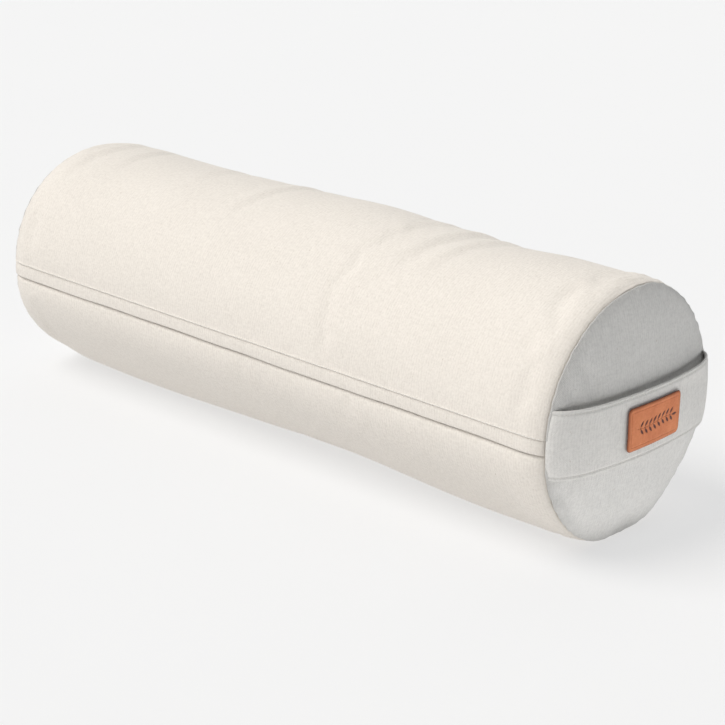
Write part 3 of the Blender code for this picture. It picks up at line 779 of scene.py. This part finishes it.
def end_creases(share, turns):
    """Shallow creases that run in from the end seam."""
    y, z = -share * SEAM_RADIUS * 1000 * np.cos(turns), share * SEAM_RADIUS * 1000 * np.sin(turns)
    total = np.zeros(y.shape)
    for y_start, z_start, y_end, z_end, half_width, depth in END_FOLDS:
        length = hypot(y_end - y_start, z_end - z_start)
        along = ((y_end - y_start) / length, (z_end - z_start) / length)
        run = ((y - y_start) * along[0] + (z - z_start) * along[1]) / length
        across = ((y - y_start) * along[1] - (z - z_start) * along[0]) / half_width
        across = across + 0.3 * np.sin(4 * run)
        window = smooth_step(run, -0.2, 0.2) * (1 - smooth_step(run, 0.55, 1.2))
        total = total + depth / 1000 * window * (0.7 * bell(across - 1.6) - bell(across))
    return total


def end_panel(name, side, field):
    """A round end: side is 1 for the strap's end and -1 for the rear, field is how far it is blown out."""
    rows = end_profile()
    turns = full_turn(180)
    share, sink = rows[:, 1:2], rows[:, 2:]
    seam_x = seam_at(side)
    rim_back = FRONT_RIM_BACK if side > 0 else REAR_RIM_BACK
    rim = cover_radius(seam_x - side * 0.002, turns) - lip_depth(turns) - rim_back
    rim = rim + 0.00035 * ripples(turns, range(30, 60, 3), 11)
    radius = share * rim - sink
    table_row = (share - 1 / DOME_STEPS) * DOME_STEPS
    off_rim = smooth_step(1 - share, 0.0, 0.05)
    push = looked_up(field, np.clip(table_row, 0, DOME_STEPS - 2), turns) * off_rim
    gathers = 0.00055 * ripples(turns, range(26, 58, 3), 8 + side)
    gathers = gathers * np.exp(-(1 - share) * SEAM_RADIUS / 0.012) * smooth_step(1 - share, 0.0, 0.02)
    slack = 0.0009 * bell(share - 0.8, 0.16) * ripples(turns, (3, 5, 7, 9), 21 + side)
    rise = rows[:, :1] + dome_rise(share) + push + gathers + slack + end_creases(share, turns)
    if side > 0:
        height = share * SEAM_RADIUS * np.sin(turns)
        behind = hump(height - STRAP_TOP + GAP_DENT_BELOW, GAP_DENT_HALF) * off_rim
        plump = hump(height - STRAP_MIDDLE, PLUMP_HALF) * smooth_step(1 - share, 0.0, 0.35)
        rise = rise + STRAP_PLUMP * plump - GAP_DENT * behind
    grid = placed(seam_x + side * rise, turns, radius)
    around = np.append(turns, 2 * pi)
    flat_radius = share * np.append(rim, rim[0]) + sink
    flat = np.stack([-flat_radius * np.cos(around), flat_radius * np.sin(around)], -1)
    # Darker towards the seam round the rim.
    painted_shade_and_seam_tint = np.broadcast_to(np.exp(-(1 - share) * SEAM_RADIUS / 0.004), radius.shape)
    panel = cloth_piece(name, grid, flat, end_canvas, closed=True, flip=side < 0, painted_shade_and_seam_tint=painted_shade_and_seam_tint)
    closed_middle(panel, len(turns))
    return with_thickness(panel, CANVAS)


# ---- The placket flap, in two halves that meet in the middle. ----

def flap_section(edge_wave):
    """Points round the folded flap: distance down from the hinge line, and distance from the axis."""
    depth = (HINGE_ANGLE - FLAP_EDGE) * RADIUS + edge_wave
    top, low = RADIUS, RADIUS - 0.002
    outer = [(0.0, top - 0.0003), (0.0007, top - 0.00016), (0.0016, top - 0.00003),
             (0.003, top + 0.0001)]
    outer += [(depth * share, top + 0.0002) for share in (0.4, 0.55, 0.7)]
    outer += [(depth - 0.0022, top + 0.0001), (depth - 0.001, top)]
    fold = [(depth - 0.001 + 0.001 * sin(turn), top - 0.001 + 0.001 * cos(turn))
            for turn in np.radians((25, 50, 75, 105, 130, 155))]
    inner = [(depth - 0.001, low), (depth * 0.6, low), (depth * 0.3, low), (0.0012, low + 0.0001),
             (0.0005, low + 0.00025)]
    bead = [(-FLAP_BEAD * sin(turn), HINGE_RADIUS - FLAP_BEAD * cos(turn))
            for turn in np.radians((0, 30, 60, 90, 120, 150))]
    return outer + fold + inner + bead


def flap_half(name, rear):
    rows = seam_stations(ROW_STEP, 0.002)
    kept = rows[rows[:, 0] < MIDDLE_X - 0.0005] if rear else rows[rows[:, 0] > MIDDLE_X + 0.0005]
    middle = np.array([[MIDDLE_X, 0.0]])
    kept = np.vstack([kept, middle]) if rear else np.vstack([middle, kept])
    rings = []
    for x, sink in kept:
        along = share_along(x)
        wave = 0.00035 * sin(2 * pi * 2.1 * along) + 0.0002 * sin(2 * pi * 7.3 * along + 1)
        section = np.array(flap_section(wave))
        turns = HINGE_ANGLE - section[:, 0] / RADIUS
        scale = float(section_scale(x))
        along_x = np.full(len(turns), x)
        radius = section[:, 1] * scale + swell(along_x, turns) + broad_shape(along_x, turns) - sink
        rings.append(placed(x, turns, radius))
    grid = np.array(rings)
    lengths = run_lengths(grid[:, :1], 0)
    around = run_lengths(np.concatenate([grid, grid[:, :1]], 1), 1).mean(0, keepdims=True)
    flat = paired(lengths, -around)
    # Painted shade on the flap's rounded lower fold (its section points 9 to 14), and darker along the end
    # seams.
    painted_shade_and_seam_tint = np.zeros(grid.shape[:2])
    painted_shade_and_seam_tint[:, 9:15] = 0.5
    painted_shade_and_seam_tint = np.maximum(painted_shade_and_seam_tint, seam_darkening(grid[:, :, 0]))
    half = cloth_piece(name, grid, flat, body_canvas, closed=True, flip=True, painted_shade_and_seam_tint=painted_shade_and_seam_tint)
    return closed_ends(half)


# ---- Stitches. ----

def one_stitch(length, thread, material):
    """One stitch standing on its end: a short thread with rounded ends that dive into the cloth."""
    bpy.ops.mesh.primitive_uv_sphere_add(segments=6, ring_count=6, radius=thread / 2, location=(0, 0, 0))
    stitch = bpy.context.object
    reach = length / 2 - thread / 2
    for sign in (1, -1):
        pick_points(stitch, lambda vertex: vertex.co.z * sign > thread * 0.1)
        bpy.ops.transform.translate(value=(-thread * 0.35, 0, sign * reach))
    mode("OBJECT")
    stitch.data.materials.append(material)
    stitch.data.shade_smooth()
    stitch.select_set(False)
    return stitch


def stitched_row(name, points, normals, length, material, thread=THREAD, closed=False):
    """Stitches end to end along a line of close points, lying on the cloth."""
    points, normals = np.asarray(points), np.asarray(normals)
    if closed:
        points = np.vstack([points, points[:1]])
        normals = np.vstack([normals, normals[:1]])
    run = run_lengths(points, 0)
    count = int(run[-1] / (length * STITCH_STEP / STITCH))
    places = []
    for i in range(count):
        middle = (i + 0.5) / count * run[-1]
        ends = [np.array([np.interp(middle + reach, run, line) for line in points.T])
                for reach in (-length / 2, length / 2)]
        normal = Vector([np.interp(middle, run, line) for line in normals.T]).normalized()
        centre = Vector((ends[0] + ends[1]) / 2)
        along = Vector(ends[1] - ends[0]).normalized()
        side = along.cross(normal).normalized()
        normal = side.cross(along)
        places.append(Matrix.Translation(centre) @ facing(normal, side, along))
    return repeated(name, one_stitch(length, thread, material), places)


def placket_stitches():
    x = np.linspace(REAR_SEAM + 0.003, FRONT_SEAM - 0.003, 400)
    turns = np.full_like(x, STITCH_ANGLE)
    radius = cover_radius(x, turns) + 0.00055 + TOP_THREAD * 0.2
    normals = np.tile((0, -cos(STITCH_ANGLE), sin(STITCH_ANGLE)), (len(x), 1))
    return stitched_row("placket_topstitches", placed(x, turns, radius), normals, STITCH, seam_thread,
                        TOP_THREAD)


# ---- The carry strap and its leather label. ----

def strap_place(share, z, lift):
    """Points and outward directions over the strap, by share of the seam's half width, height and lift."""
    def face(s):
        half_width = np.sqrt(SEAM_RADIUS**2 - z * z)
        out = STRAP_BULGE * np.sqrt(np.maximum(1 - np.abs(s) ** DOME_POWER, 0))
        return paired(FRONT_SEAM + out, s * half_width)
    step = 0.002
    along = face(np.minimum(share + step, 1)) - face(np.maximum(share - step, -1))
    along = along / np.linalg.norm(along, axis=-1, keepdims=True)
    normal = np.stack([along[..., 1], -along[..., 0]], -1)
    point = face(share) + normal * np.asarray(lift)[..., None]
    height = np.broadcast_to(AXIS_Z + z, point.shape[:-1])
    normal = np.concatenate([normal, np.zeros((*normal.shape[:-1], 1))], -1)
    return np.concatenate([point, height[..., None]], -1), normal


def strap_shares(count, reach):
    return reach * np.sin(pi / 2 * np.linspace(-1, 1, count))


def strap_lift(share, z):
    """How the strap's face departs from plain: rows of stitching pull it in, and its edges curl back."""
    across = (z - STRAP_MIDDLE) / ((STRAP_TOP - STRAP_LOW) / 2)
    lift = -STRAP_DIMPLE * bell(z - STRAP_TOP + STRAP_INSET, DIMPLE_WIDTH)
    lift = lift - STRAP_DIMPLE * bell(z - STRAP_LOW - STRAP_INSET, DIMPLE_WIDTH)
    lift = lift - 0.0006 * np.abs(across) ** 6
    free = 1 - np.abs(share) ** 4
    curl = STRAP_CURL + STRAP_SLACK * smooth_step(share, -0.1, 0.9)
    lift = lift + curl * free * smooth_step(across, 0.45, 1.05)
    return lift + free * 0.0005 * np.sin(7 * share + 1.3 * across) * across


def strap_piece():
    shares = strap_shares(150, STRAP_REACH)[:, None]
    edge = STRAP_THICK / 2
    span = np.concatenate([np.linspace(0, 0.005, 9), np.linspace(0.005, 0.0525, 26)[1:-1],
                           np.linspace(0.0525, 0.0572, 9)])
    span = span / span[-1]
    heights = STRAP_LOW + edge * 0.6 + span * (STRAP_TOP - STRAP_LOW - edge * 1.2)
    rounding = np.radians((60, 30, 0, -30, -60))
    z = np.concatenate([heights, STRAP_TOP - edge * 0.6 + edge * 0.6 * np.cos(rounding),
                        heights[::-1], STRAP_LOW + edge * 0.6 - edge * 0.6 * np.cos(rounding)])
    back = np.full(len(heights), -STRAP_THICK)
    lift = np.concatenate([np.zeros(len(heights)), -edge + edge * 0.9 * np.sin(rounding),
                           back, -edge - edge * 0.9 * np.sin(rounding)])
    lift = lift + strap_lift(shares, z)
    grid, _ = strap_place(shares, z, lift)
    lengths = run_lengths(grid[:, :1], 0)
    around = run_lengths(np.concatenate([grid, grid[:, :1]], 1), 1)[75:76]
    flat = paired(lengths, around)
    # Painted shade in thin lines along the strap's top and bottom edges and along its two stitch rows.
    distance = np.minimum(z - STRAP_LOW, STRAP_TOP - z)
    painted_shade_and_seam_tint = 0.6 * np.exp(-distance / 0.0006) + 0.8 * bell(distance - STRAP_INSET, 0.0006)
    painted_shade_and_seam_tint = np.broadcast_to(painted_shade_and_seam_tint, grid.shape[:2])
    strap = cloth_piece("carry_strap_webbing", grid, flat, painted_shade_strap_canvas, closed=True, painted_shade_and_seam_tint=painted_shade_and_seam_tint)
    return closed_ends(strap)


def strap_stitches(name, z):
    shares = strap_shares(300, 0.975)
    points, normals = strap_place(shares, np.full_like(shares, z), strap_lift(shares, z) + THREAD * 0.3)
    return stitched_row(name, points, normals, STITCH, seam_thread)


LABEL_WIDTH = label_high.y - label_low.y
LABEL_HEIGHT = label_high.z - label_low.z
LABEL_THICK = 0.0014
LABEL_CORNER = 0.004
LABEL_BORDER = 0.0028
LABEL_STITCH = 0.0024
LEAF_PAIRS, LEAF_STEP = 8, 0.0056


def on_strap(u, v, lift):
    """Points and outward directions over the strap, at a place on the label."""
    share = u / np.sqrt(SEAM_RADIUS**2 - (v + STRAP_MIDDLE) ** 2)
    return strap_place(share, v + STRAP_MIDDLE, lift + strap_lift(share, v + STRAP_MIDDLE))


def leaf(u, v, at, turn, half_length, half_width):
    """How deep inside a leaf shape a point is, positive inside, in metres."""
    along = (u - at[0]) * cos(turn) + (v - at[1]) * sin(turn)
    across = -(u - at[0]) * sin(turn) + (v - at[1]) * cos(turn)
    return half_width * (1 - (along / half_length) ** 2) - np.abs(across)


def sprig(u, v):
    """A plain sprig of paired leaves along the label."""
    stem_line = 0.0011 * np.sin(u / 0.0085)
    inside = np.minimum(0.0005 - np.abs(v - stem_line), 0.0238 - np.abs(u))
    for i in range(LEAF_PAIRS):
        at = -0.0203 + i * LEAF_STEP
        base = 0.0011 * sin(at / 0.0085)
        for sign in (1, -1):
            centre = (at + 0.0026, base + sign * 0.0033)
            inside = np.maximum(inside, leaf(u, v, centre, sign * radians(50), 0.0039, 0.00155))
    return np.maximum(inside, leaf(u, v, (0.0258, 0.0), 0, 0.0040, 0.0016))


def label_piece():
    columns, rows = 200, 110
    a = np.linspace(-1, 1, rows)[:, None] * LABEL_HEIGHT / 2
    b = np.linspace(-1, 1, columns)[None, :] * LABEL_WIDTH / 2
    v, u = np.broadcast_arrays(a, b)
    plain_u, plain_v = LABEL_WIDTH / 2 - LABEL_CORNER, LABEL_HEIGHT / 2 - LABEL_CORNER
    past_u = np.maximum(np.abs(u) - plain_u, 0) / LABEL_CORNER
    past_v = np.maximum(np.abs(v) - plain_v, 0) / LABEL_CORNER
    u = np.sign(u) * (np.minimum(np.abs(u), plain_u) + LABEL_CORNER * past_u * np.sqrt(1 - past_v**2 / 2))
    v = np.sign(v) * (np.minimum(np.abs(v), plain_v) + LABEL_CORNER * past_v * np.sqrt(1 - past_u**2 / 2))
    reach_u = np.maximum(np.abs(u) - plain_u, 0)
    reach_v = np.maximum(np.abs(v) - plain_v, 0)
    straight = np.minimum(LABEL_WIDTH / 2 - np.abs(u), LABEL_HEIGHT / 2 - np.abs(v))
    in_corner = (reach_u > 0) & (reach_v > 0)
    edge = np.where(in_corner, LABEL_CORNER - np.hypot(reach_u, reach_v), straight)
    rounded = np.clip(1 - edge / 0.0007, 0, 1)
    mark = np.clip(sprig(u, v) / 0.00022, 0, 1)
    lift = LABEL_THICK + 0.0003 - 0.0005 * (1 - np.sqrt(1 - rounded**2))
    lift = lift - 0.0002 * bell(edge - LABEL_BORDER, 0.00035) - 0.0002 * mark
    grid, _ = on_strap(u, v, lift)
    label = cloth_piece("leather_patch", grid, paired(u, v), leather)
    burn = np.maximum(mark, 0.85 * np.exp(-edge / 0.0005))
    burn = np.maximum(burn, 0.4 * bell(edge - LABEL_BORDER, 0.0004))
    mark_layer = label.data.attributes.new("burn", "FLOAT", "POINT")
    mark_layer.data.foreach_set("value", burn.astype(np.float32).ravel())
    return with_thickness(label, LABEL_THICK)


def label_stitches():
    corner = LABEL_CORNER - LABEL_BORDER / 2
    half_u, half_v = LABEL_WIDTH / 2 - LABEL_BORDER, LABEL_HEIGHT / 2 - LABEL_BORDER
    outline = []
    for quarter in range(4):
        centre_u = (half_u - corner) * (1 if quarter in (0, 3) else -1)
        centre_v = (half_v - corner) * (1 if quarter in (0, 1) else -1)
        for step in range(7):
            turn = pi / 2 * (quarter + step / 6)
            outline.append((centre_u + corner * cos(turn), centre_v + corner * sin(turn)))
    outline = np.array(outline + outline[:1])
    run = run_lengths(outline, 0)
    even = np.linspace(0, run[-1], 400)[:-1]
    u, v = np.interp(even, run, outline[:, 0]), np.interp(even, run, outline[:, 1])
    points, normals = on_strap(u, v, LABEL_THICK + 0.0001 + THREAD * 0.25)
    return stitched_row("label_stitches", points, normals, LABEL_STITCH, tan_thread, closed=True)


# ---- The inner cushion: a cotton liner round its hulls. ----

ZIP_DENT, ZIP_DENT_HALF = 0.0096, 0.036
SLIT_HALF, SLIT_DENT_HALF = radians(3.3), 0.030
SLIT_DENT, FILL_SLIT_DENT = 0.0012, 0.0044
zip_low, zip_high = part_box("cover_zip_slider")
ZIP_ANGLE = atan2((zip_low.z + zip_high.z) / 2 - AXIS_Z, -(zip_low.y + zip_high.y) / 2)


def inner_radius(x, turn, depth, slit_dent):
    """A layer inside the cover, which gives way behind both zips."""
    behind = 0.4 + 0.6 * smooth_step(seam_inset(x), 0.0065, 0.0255)
    dent = ZIP_DENT * hump(turn_from(turn, ZIP_ANGLE) * RADIUS, ZIP_DENT_HALF)
    dent = dent + slit_dent * hump(turn_from(turn, pi) * RADIUS, SLIT_DENT_HALF)
    return cover_radius(x, turn) - depth - behind * dent


LINER_DEPTH = CANVAS + LAYER_GAP
FILL_DEPTH = LINER_DEPTH + LINING + 2 * LAYER_GAP
INNER_INSET = 0.0016


def liner_tube():
    x = np.linspace(REAR_SEAM + INNER_INSET, FRONT_SEAM - INNER_INSET, 150)[:, None]
    turns = np.linspace(SLIT_HALF - pi, pi - SLIT_HALF, 168)
    radius = inner_radius(x, turns, LINER_DEPTH, SLIT_DENT) + 0.00015 * ripples(turns, range(20, 60, 7), 4)
    grid = placed(x, turns, radius)
    flat = paired(x, turns * RADIUS)
    tube = cloth_piece("liner_wrap", grid, flat, liner_cotton, painted_shade_and_seam_tint=0 * grid[:, :, 0])
    return with_thickness(tube, LINING)


def inner_rise(share, depth):
    """An inner layer's end keeps behind the turned-in edges of the cover's end seam."""
    return (dome_rise(share) - depth) * smooth_step(1 - share, 0.035, 0.14) - INNER_INSET


def inner_end_rings(side, depth, rim, field, shares, turns):
    push = looked_up(field, np.clip(shares * DOME_STEPS - 1, 0, DOME_STEPS - 2), turns)
    rise = inner_rise(shares, depth) + np.minimum(push, 0) * smooth_step(1 - shares, 0.0, 0.1)
    rise = rise - 0.0006 * (1 - shares)
    return placed(seam_at(side) + side * rise, turns, shares * rim)


def liner_end(name, side, field):
    turns = full_turn(144)
    shares = np.concatenate([np.linspace(1, 0.8, 12), np.linspace(0.8, 0.015, 22)[1:]])[:, None]
    rim = inner_radius(seam_at(side) - side * INNER_INSET, turns, LINER_DEPTH + 0.0004, SLIT_DENT)
    grid = inner_end_rings(side, 0.0012, rim, field, shares, turns)
    around = np.append(turns, 2 * pi)
    flat = shares[:, :, None] * SEAM_RADIUS * np.stack([-np.cos(around), np.sin(around)], -1)
    panel = cloth_piece(name, grid, flat, liner_cotton, closed=True, flip=side < 0, painted_shade_and_seam_tint=0 * grid[:, :, 0])
    closed_middle(panel, len(turns))
    return with_thickness(panel, LINING)


def filling():
    """The loose hulls as the one mass that they fill, a little lumpy."""
    turns = full_turn(144)
    shares = np.concatenate([np.linspace(0.99, 0.8, 10), np.linspace(0.8, 0.02, 16)[1:]])[:, None]
    x = np.linspace(REAR_SEAM + INNER_INSET, FRONT_SEAM - INNER_INSET, 140)[:, None]
    tube = placed(x, turns, inner_radius(x, turns, FILL_DEPTH, FILL_SLIT_DENT)
                  - 0.0003 * (1 + ripples(turns + 9 * x, range(9, 40, 3), 31)) / 2)
    rims = [inner_radius(seam_x, turns, FILL_DEPTH, FILL_SLIT_DENT)
            for seam_x in (REAR_SEAM + INNER_INSET, FRONT_SEAM - INNER_INSET)]
    rear = inner_end_rings(-1, 0.0028, rims[0], BLOWN_REAR, shares, turns)[::-1]
    front = inner_end_rings(1, 0.0028, rims[1], BLOWN_FRONT, shares, turns)
    grid = np.concatenate([rear, tube, front])
    around = np.append(turns, 2 * pi)
    flat = paired(np.linspace(0, 0.85, len(grid))[:, None], around * RADIUS)
    mass = cloth_piece("hull_filling_mass", grid, flat, hull_mass, closed=True)
    closed_middle(mass, len(turns))
    closed_middle(mass, len(turns), first=True)
    return mass


def care_label():
    low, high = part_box("care_label")
    turns = np.radians(np.linspace(-13.0, -6.9, 24))
    x = np.linspace(low.x, high.x, 40)[:, None]
    radius = cover_radius(x, turns) - lip_depth(turns) - LINER_DEPTH
    grid = placed(x, turns, radius)
    flat = paired(x, turns * RADIUS)
    label = cloth_piece("care_label_satin", grid, flat, liner_cotton, painted_shade_and_seam_tint=0 * grid[:, :, 0])
    return with_thickness(label, 0.00025)


# ---- Zips. ----

def worked_copy(name, cad_node, material, edge):
    """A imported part's own shape with its edges eased, as a mould or a press leaves them."""
    piece = linked(name, frame["nodes"][cad_node].data.copy())
    piece.data.materials.clear()
    piece.data.materials.append(material)
    only(piece)
    mode("EDIT")
    bpy.ops.mesh.select_mode(type="EDGE")
    bpy.ops.mesh.select_all(action="SELECT")
    bpy.ops.mesh.remove_doubles(threshold=0.00001)
    bpy.ops.mesh.dissolve_limited(angle_limit=radians(2))
    bpy.ops.mesh.select_all(action="DESELECT")
    bpy.ops.mesh.edges_select_sharp(sharpness=radians(30))
    bpy.ops.mesh.bevel(offset=edge, segments=3, affect="EDGES", clamp_overlap=True)
    bpy.ops.mesh.select_all(action="DESELECT")
    mode("OBJECT")
    bpy.ops.object.shade_smooth_by_angle(angle=radians(35))
    piece.select_set(False)
    return piece


COIL_PITCH, COIL_SLANT, COIL_END = 0.0012, 0.35, 0.001
LOOP_RADIUS, LOOP_WIRE, LOOP_REACH = 0.00078, 0.00027, 0.00105


def coil_loop(across_half, height_half):
    """One turn of a zip's nylon coil."""
    bpy.ops.mesh.primitive_torus_add(major_segments=8, minor_segments=4,
                                     major_radius=LOOP_RADIUS, minor_radius=LOOP_WIRE)
    loop = bpy.context.object
    mode("EDIT")
    bpy.ops.mesh.select_all(action="SELECT")
    bpy.ops.transform.resize(value=(across_half / LOOP_REACH, height_half / LOOP_REACH, 1))
    mode("OBJECT")
    loop.data.materials.append(coil_nylon)
    loop.data.shade_smooth()
    loop.select_set(False)
    return loop


def coil_row(name, cad_node, partner, phase):
    """A row of coil turns in the place of one packed strip."""
    low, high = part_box(cad_node)
    other_low, other_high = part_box(partner)
    middle, other = (low + high) / 2, (other_low + other_high) / 2
    across = Vector((0, middle.y - other.y, middle.z - other.z)).normalized()
    outward = Vector((0, middle.y, middle.z - AXIS_Z)).normalized()
    outward = (outward - across * outward.dot(across)).normalized()
    slant = (Vector((1, 0, 0)) + across * COIL_SLANT).normalized()
    count = int((high.x - low.x - 2 * COIL_END) / COIL_PITCH)
    places = []
    for i in range(count):
        x = low.x + COIL_END + (i + phase) * COIL_PITCH
        places.append(Matrix.Translation((x, middle.y, middle.z)) @ facing(across, outward, slant))
    return repeated(name, coil_loop(0.0008, 0.0011), places)


wrap = body_wrap()
front_end = end_panel("front_end_round", 1, BLOWN_FRONT)
rear_end = end_panel("rear_end_round", -1, BLOWN_REAR)
rear_flap = flap_half("placket_flap_rear_half", True)
front_flap = flap_half("placket_flap_front_half", False)
topstitches = placket_stitches()
strap = strap_piece()
strap_rows = [strap_stitches("strap_top_stitches", STRAP_TOP - STRAP_INSET),
              strap_stitches("strap_bottom_stitches", STRAP_LOW + STRAP_INSET)]
label = label_piece()
label_row = label_stitches()
liner_wrap = liner_tube()
liner_front = liner_end("liner_front_round", 1, BLOWN_FRONT)
liner_rear = liner_end("liner_rear_round", -1, BLOWN_REAR)
hull_filling = filling()
satin_label = care_label()

for piece, cad_node, slot, stuffed in (
    (wrap, "cover_body_panel", "canvas", True),
    (front_end, "front_end_panel", "end_canvas", True),
    (rear_end, "rear_end_panel", "end_canvas", True),
    (topstitches, "placket_topstitching", "thread", False),
    (liner_wrap, "liner_tube", "lining", True),
    (liner_front, "liner_front_end", "lining", True),
    (liner_rear, "liner_rear_end", "lining", True),
    (hull_filling, "hull_filling", "hulls", True),
    (satin_label, "care_label", "lining", False),
):
    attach(piece, "cover")
    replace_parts(piece, cad_node)

for zip_name in ("cover", "liner"):
    for side, other in (("upper", "lower"), ("lower", "upper")):
        tape = f"{zip_name}_zip_tape_{side}"
        woven_tape = worked_copy(f"{tape}_woven", tape, tape_cloth, 0.00015)
        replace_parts(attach(woven_tape, "cover"), tape)
        coil = f"{zip_name}_zip_coil_{side}"
        phase = 0.25 if side == "upper" else 0.75
        row = coil_row(f"{coil}_turns", coil, f"{zip_name}_zip_coil_{other}", phase)
        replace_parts(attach(row, "cover"), coil)
    for stop in ("top_stop", "bottom_stop"):
        part = f"{zip_name}_zip_{stop}"
        pressed = worked_copy(f"{part}_pressed", part, zip_zinc, 0.0003)
        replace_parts(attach(pressed, "cover"), part)
for part, body in (("cover_zip_slider", "zip_slider"), ("cover_zip_pull", "zip_pull"),
                   ("liner_zip_slider", "liner_slider")):
    cast = worked_copy(f"{part}_cast", part, zip_zinc, 0.00015)
    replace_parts(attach(cast, body), part)

for half, seam_x, sign in ((rear_flap, REAR_SEAM, 1), (front_flap, FRONT_SEAM, -1)):
    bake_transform(half)
    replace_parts(half, "placket_flap")

for piece, cad_node, slot in (
    (strap, "carry_strap", "canvas"),
    (strap_rows[0], "strap_top_stitching", "thread"),
    (strap_rows[1], "strap_bottom_stitching", "thread"),
):
    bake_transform(piece)
    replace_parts(piece, cad_node)
for piece, cad_node, slot in ((label, "leather_label", "leather"),
                              (label_row, "label_stitching", "thread")):
    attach(piece, "strap")
    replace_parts(piece, cad_node)


# ---- Floor, light and camera. ----

def stage_floor():
    bpy.ops.mesh.primitive_plane_add(size=80, location=(0, 0, 0))
    floor = bpy.context.object
    floor.name = "pale_floor"
    material, tree, shader = finish("pale_floor")
    cloud = noise(tree, own_place(tree), 3, 3)
    colour = mixed(tree, cloud, (0.29, 0.29, 0.29), (0.31, 0.31, 0.31))
    shaded(tree, shader, colour, spread_out(tree, cloud, 0.3, 0.7, 0.7, 0.8))
    shader.inputs["Emission Color"].default_value = (1.0, 1.0, 1.0, 1)
    shader.inputs["Emission Strength"].default_value = 0.575
    shader.inputs["Specular IOR Level"].default_value = 0.1
    floor.data.materials.append(material)
    floor.select_set(False)


def studio_light():
    world = bpy.data.worlds.new("studio")
    world.use_nodes = True
    bpy.context.scene.world = world
    tree = world.node_tree
    sky = tree.nodes["Background"]
    sky.inputs["Color"].default_value = (0.945, 0.972, 1.0, 1)
    towards = node(tree, "ShaderNodeTexCoord").outputs["Generated"]
    up = node(tree, "ShaderNodeSeparateXYZ", {0: towards}).outputs["Z"]
    tree.links.new(spread_out(tree, up, 0.03, 0.20, 0.92, 0.36), sky.inputs["Strength"])
    for name, energy, angle, towards, colour in (
        ("key", 2.55, 40, (-0.54, -0.60, 1.05), (1.0, 0.98, 0.95)),
        ("back", 0.45, 60, (-0.50, 0.60, 0.65), (0.97, 0.985, 1.0)),
    ):
        data = bpy.data.lights.new(name, "SUN")
        data.energy = energy
        data.angle = radians(angle)
        data.color = colour
        lamp = linked(name, data)
        lamp.rotation_mode = "QUATERNION"
        lamp.rotation_quaternion = Vector(towards).normalized().to_track_quat("Z", "Y")
    data = bpy.data.lights.new("low_board", "AREA")
    data.shape = "RECTANGLE"
    data.size, data.size_y = 0.22, 0.38
    data.energy = 0.14
    board = linked("low_board", data)
    board.location = (FRONT_SEAM + 0.13, 0, 0.004)
    board.rotation_euler = (pi, 0, 0)
    board.visible_camera = False


def camera():
    """The camera looks down the pillow's length from its strap end."""
    data = bpy.data.cameras.new("camera")
    data.sensor_width = 36
    data.lens = 104.4
    data.clip_start, data.clip_end = 0.05, 60
    made = linked("camera", data)
    azimuth, elevation, roll = radians(42.83), radians(19.88), radians(1.02)
    distance = 1.8948
    target = Vector((MIDDLE_X + 0.0358, 0, AXIS_Z - 0.0314))
    back = Vector((sin(azimuth) * cos(elevation), -cos(azimuth) * cos(elevation), sin(elevation)))
    right = Vector((cos(azimuth), sin(azimuth), 0))
    up = back.cross(right)
    tilted_right = right * cos(roll) + up * sin(roll)
    tilted_up = up * cos(roll) - right * sin(roll)
    made.matrix_world = Matrix.Translation(target + back * distance) @ facing(tilted_right, tilted_up, back)
    bpy.context.scene.camera = made


stage_floor()
studio_light()
camera()
bpy.context.scene.view_settings.view_transform = "Standard"
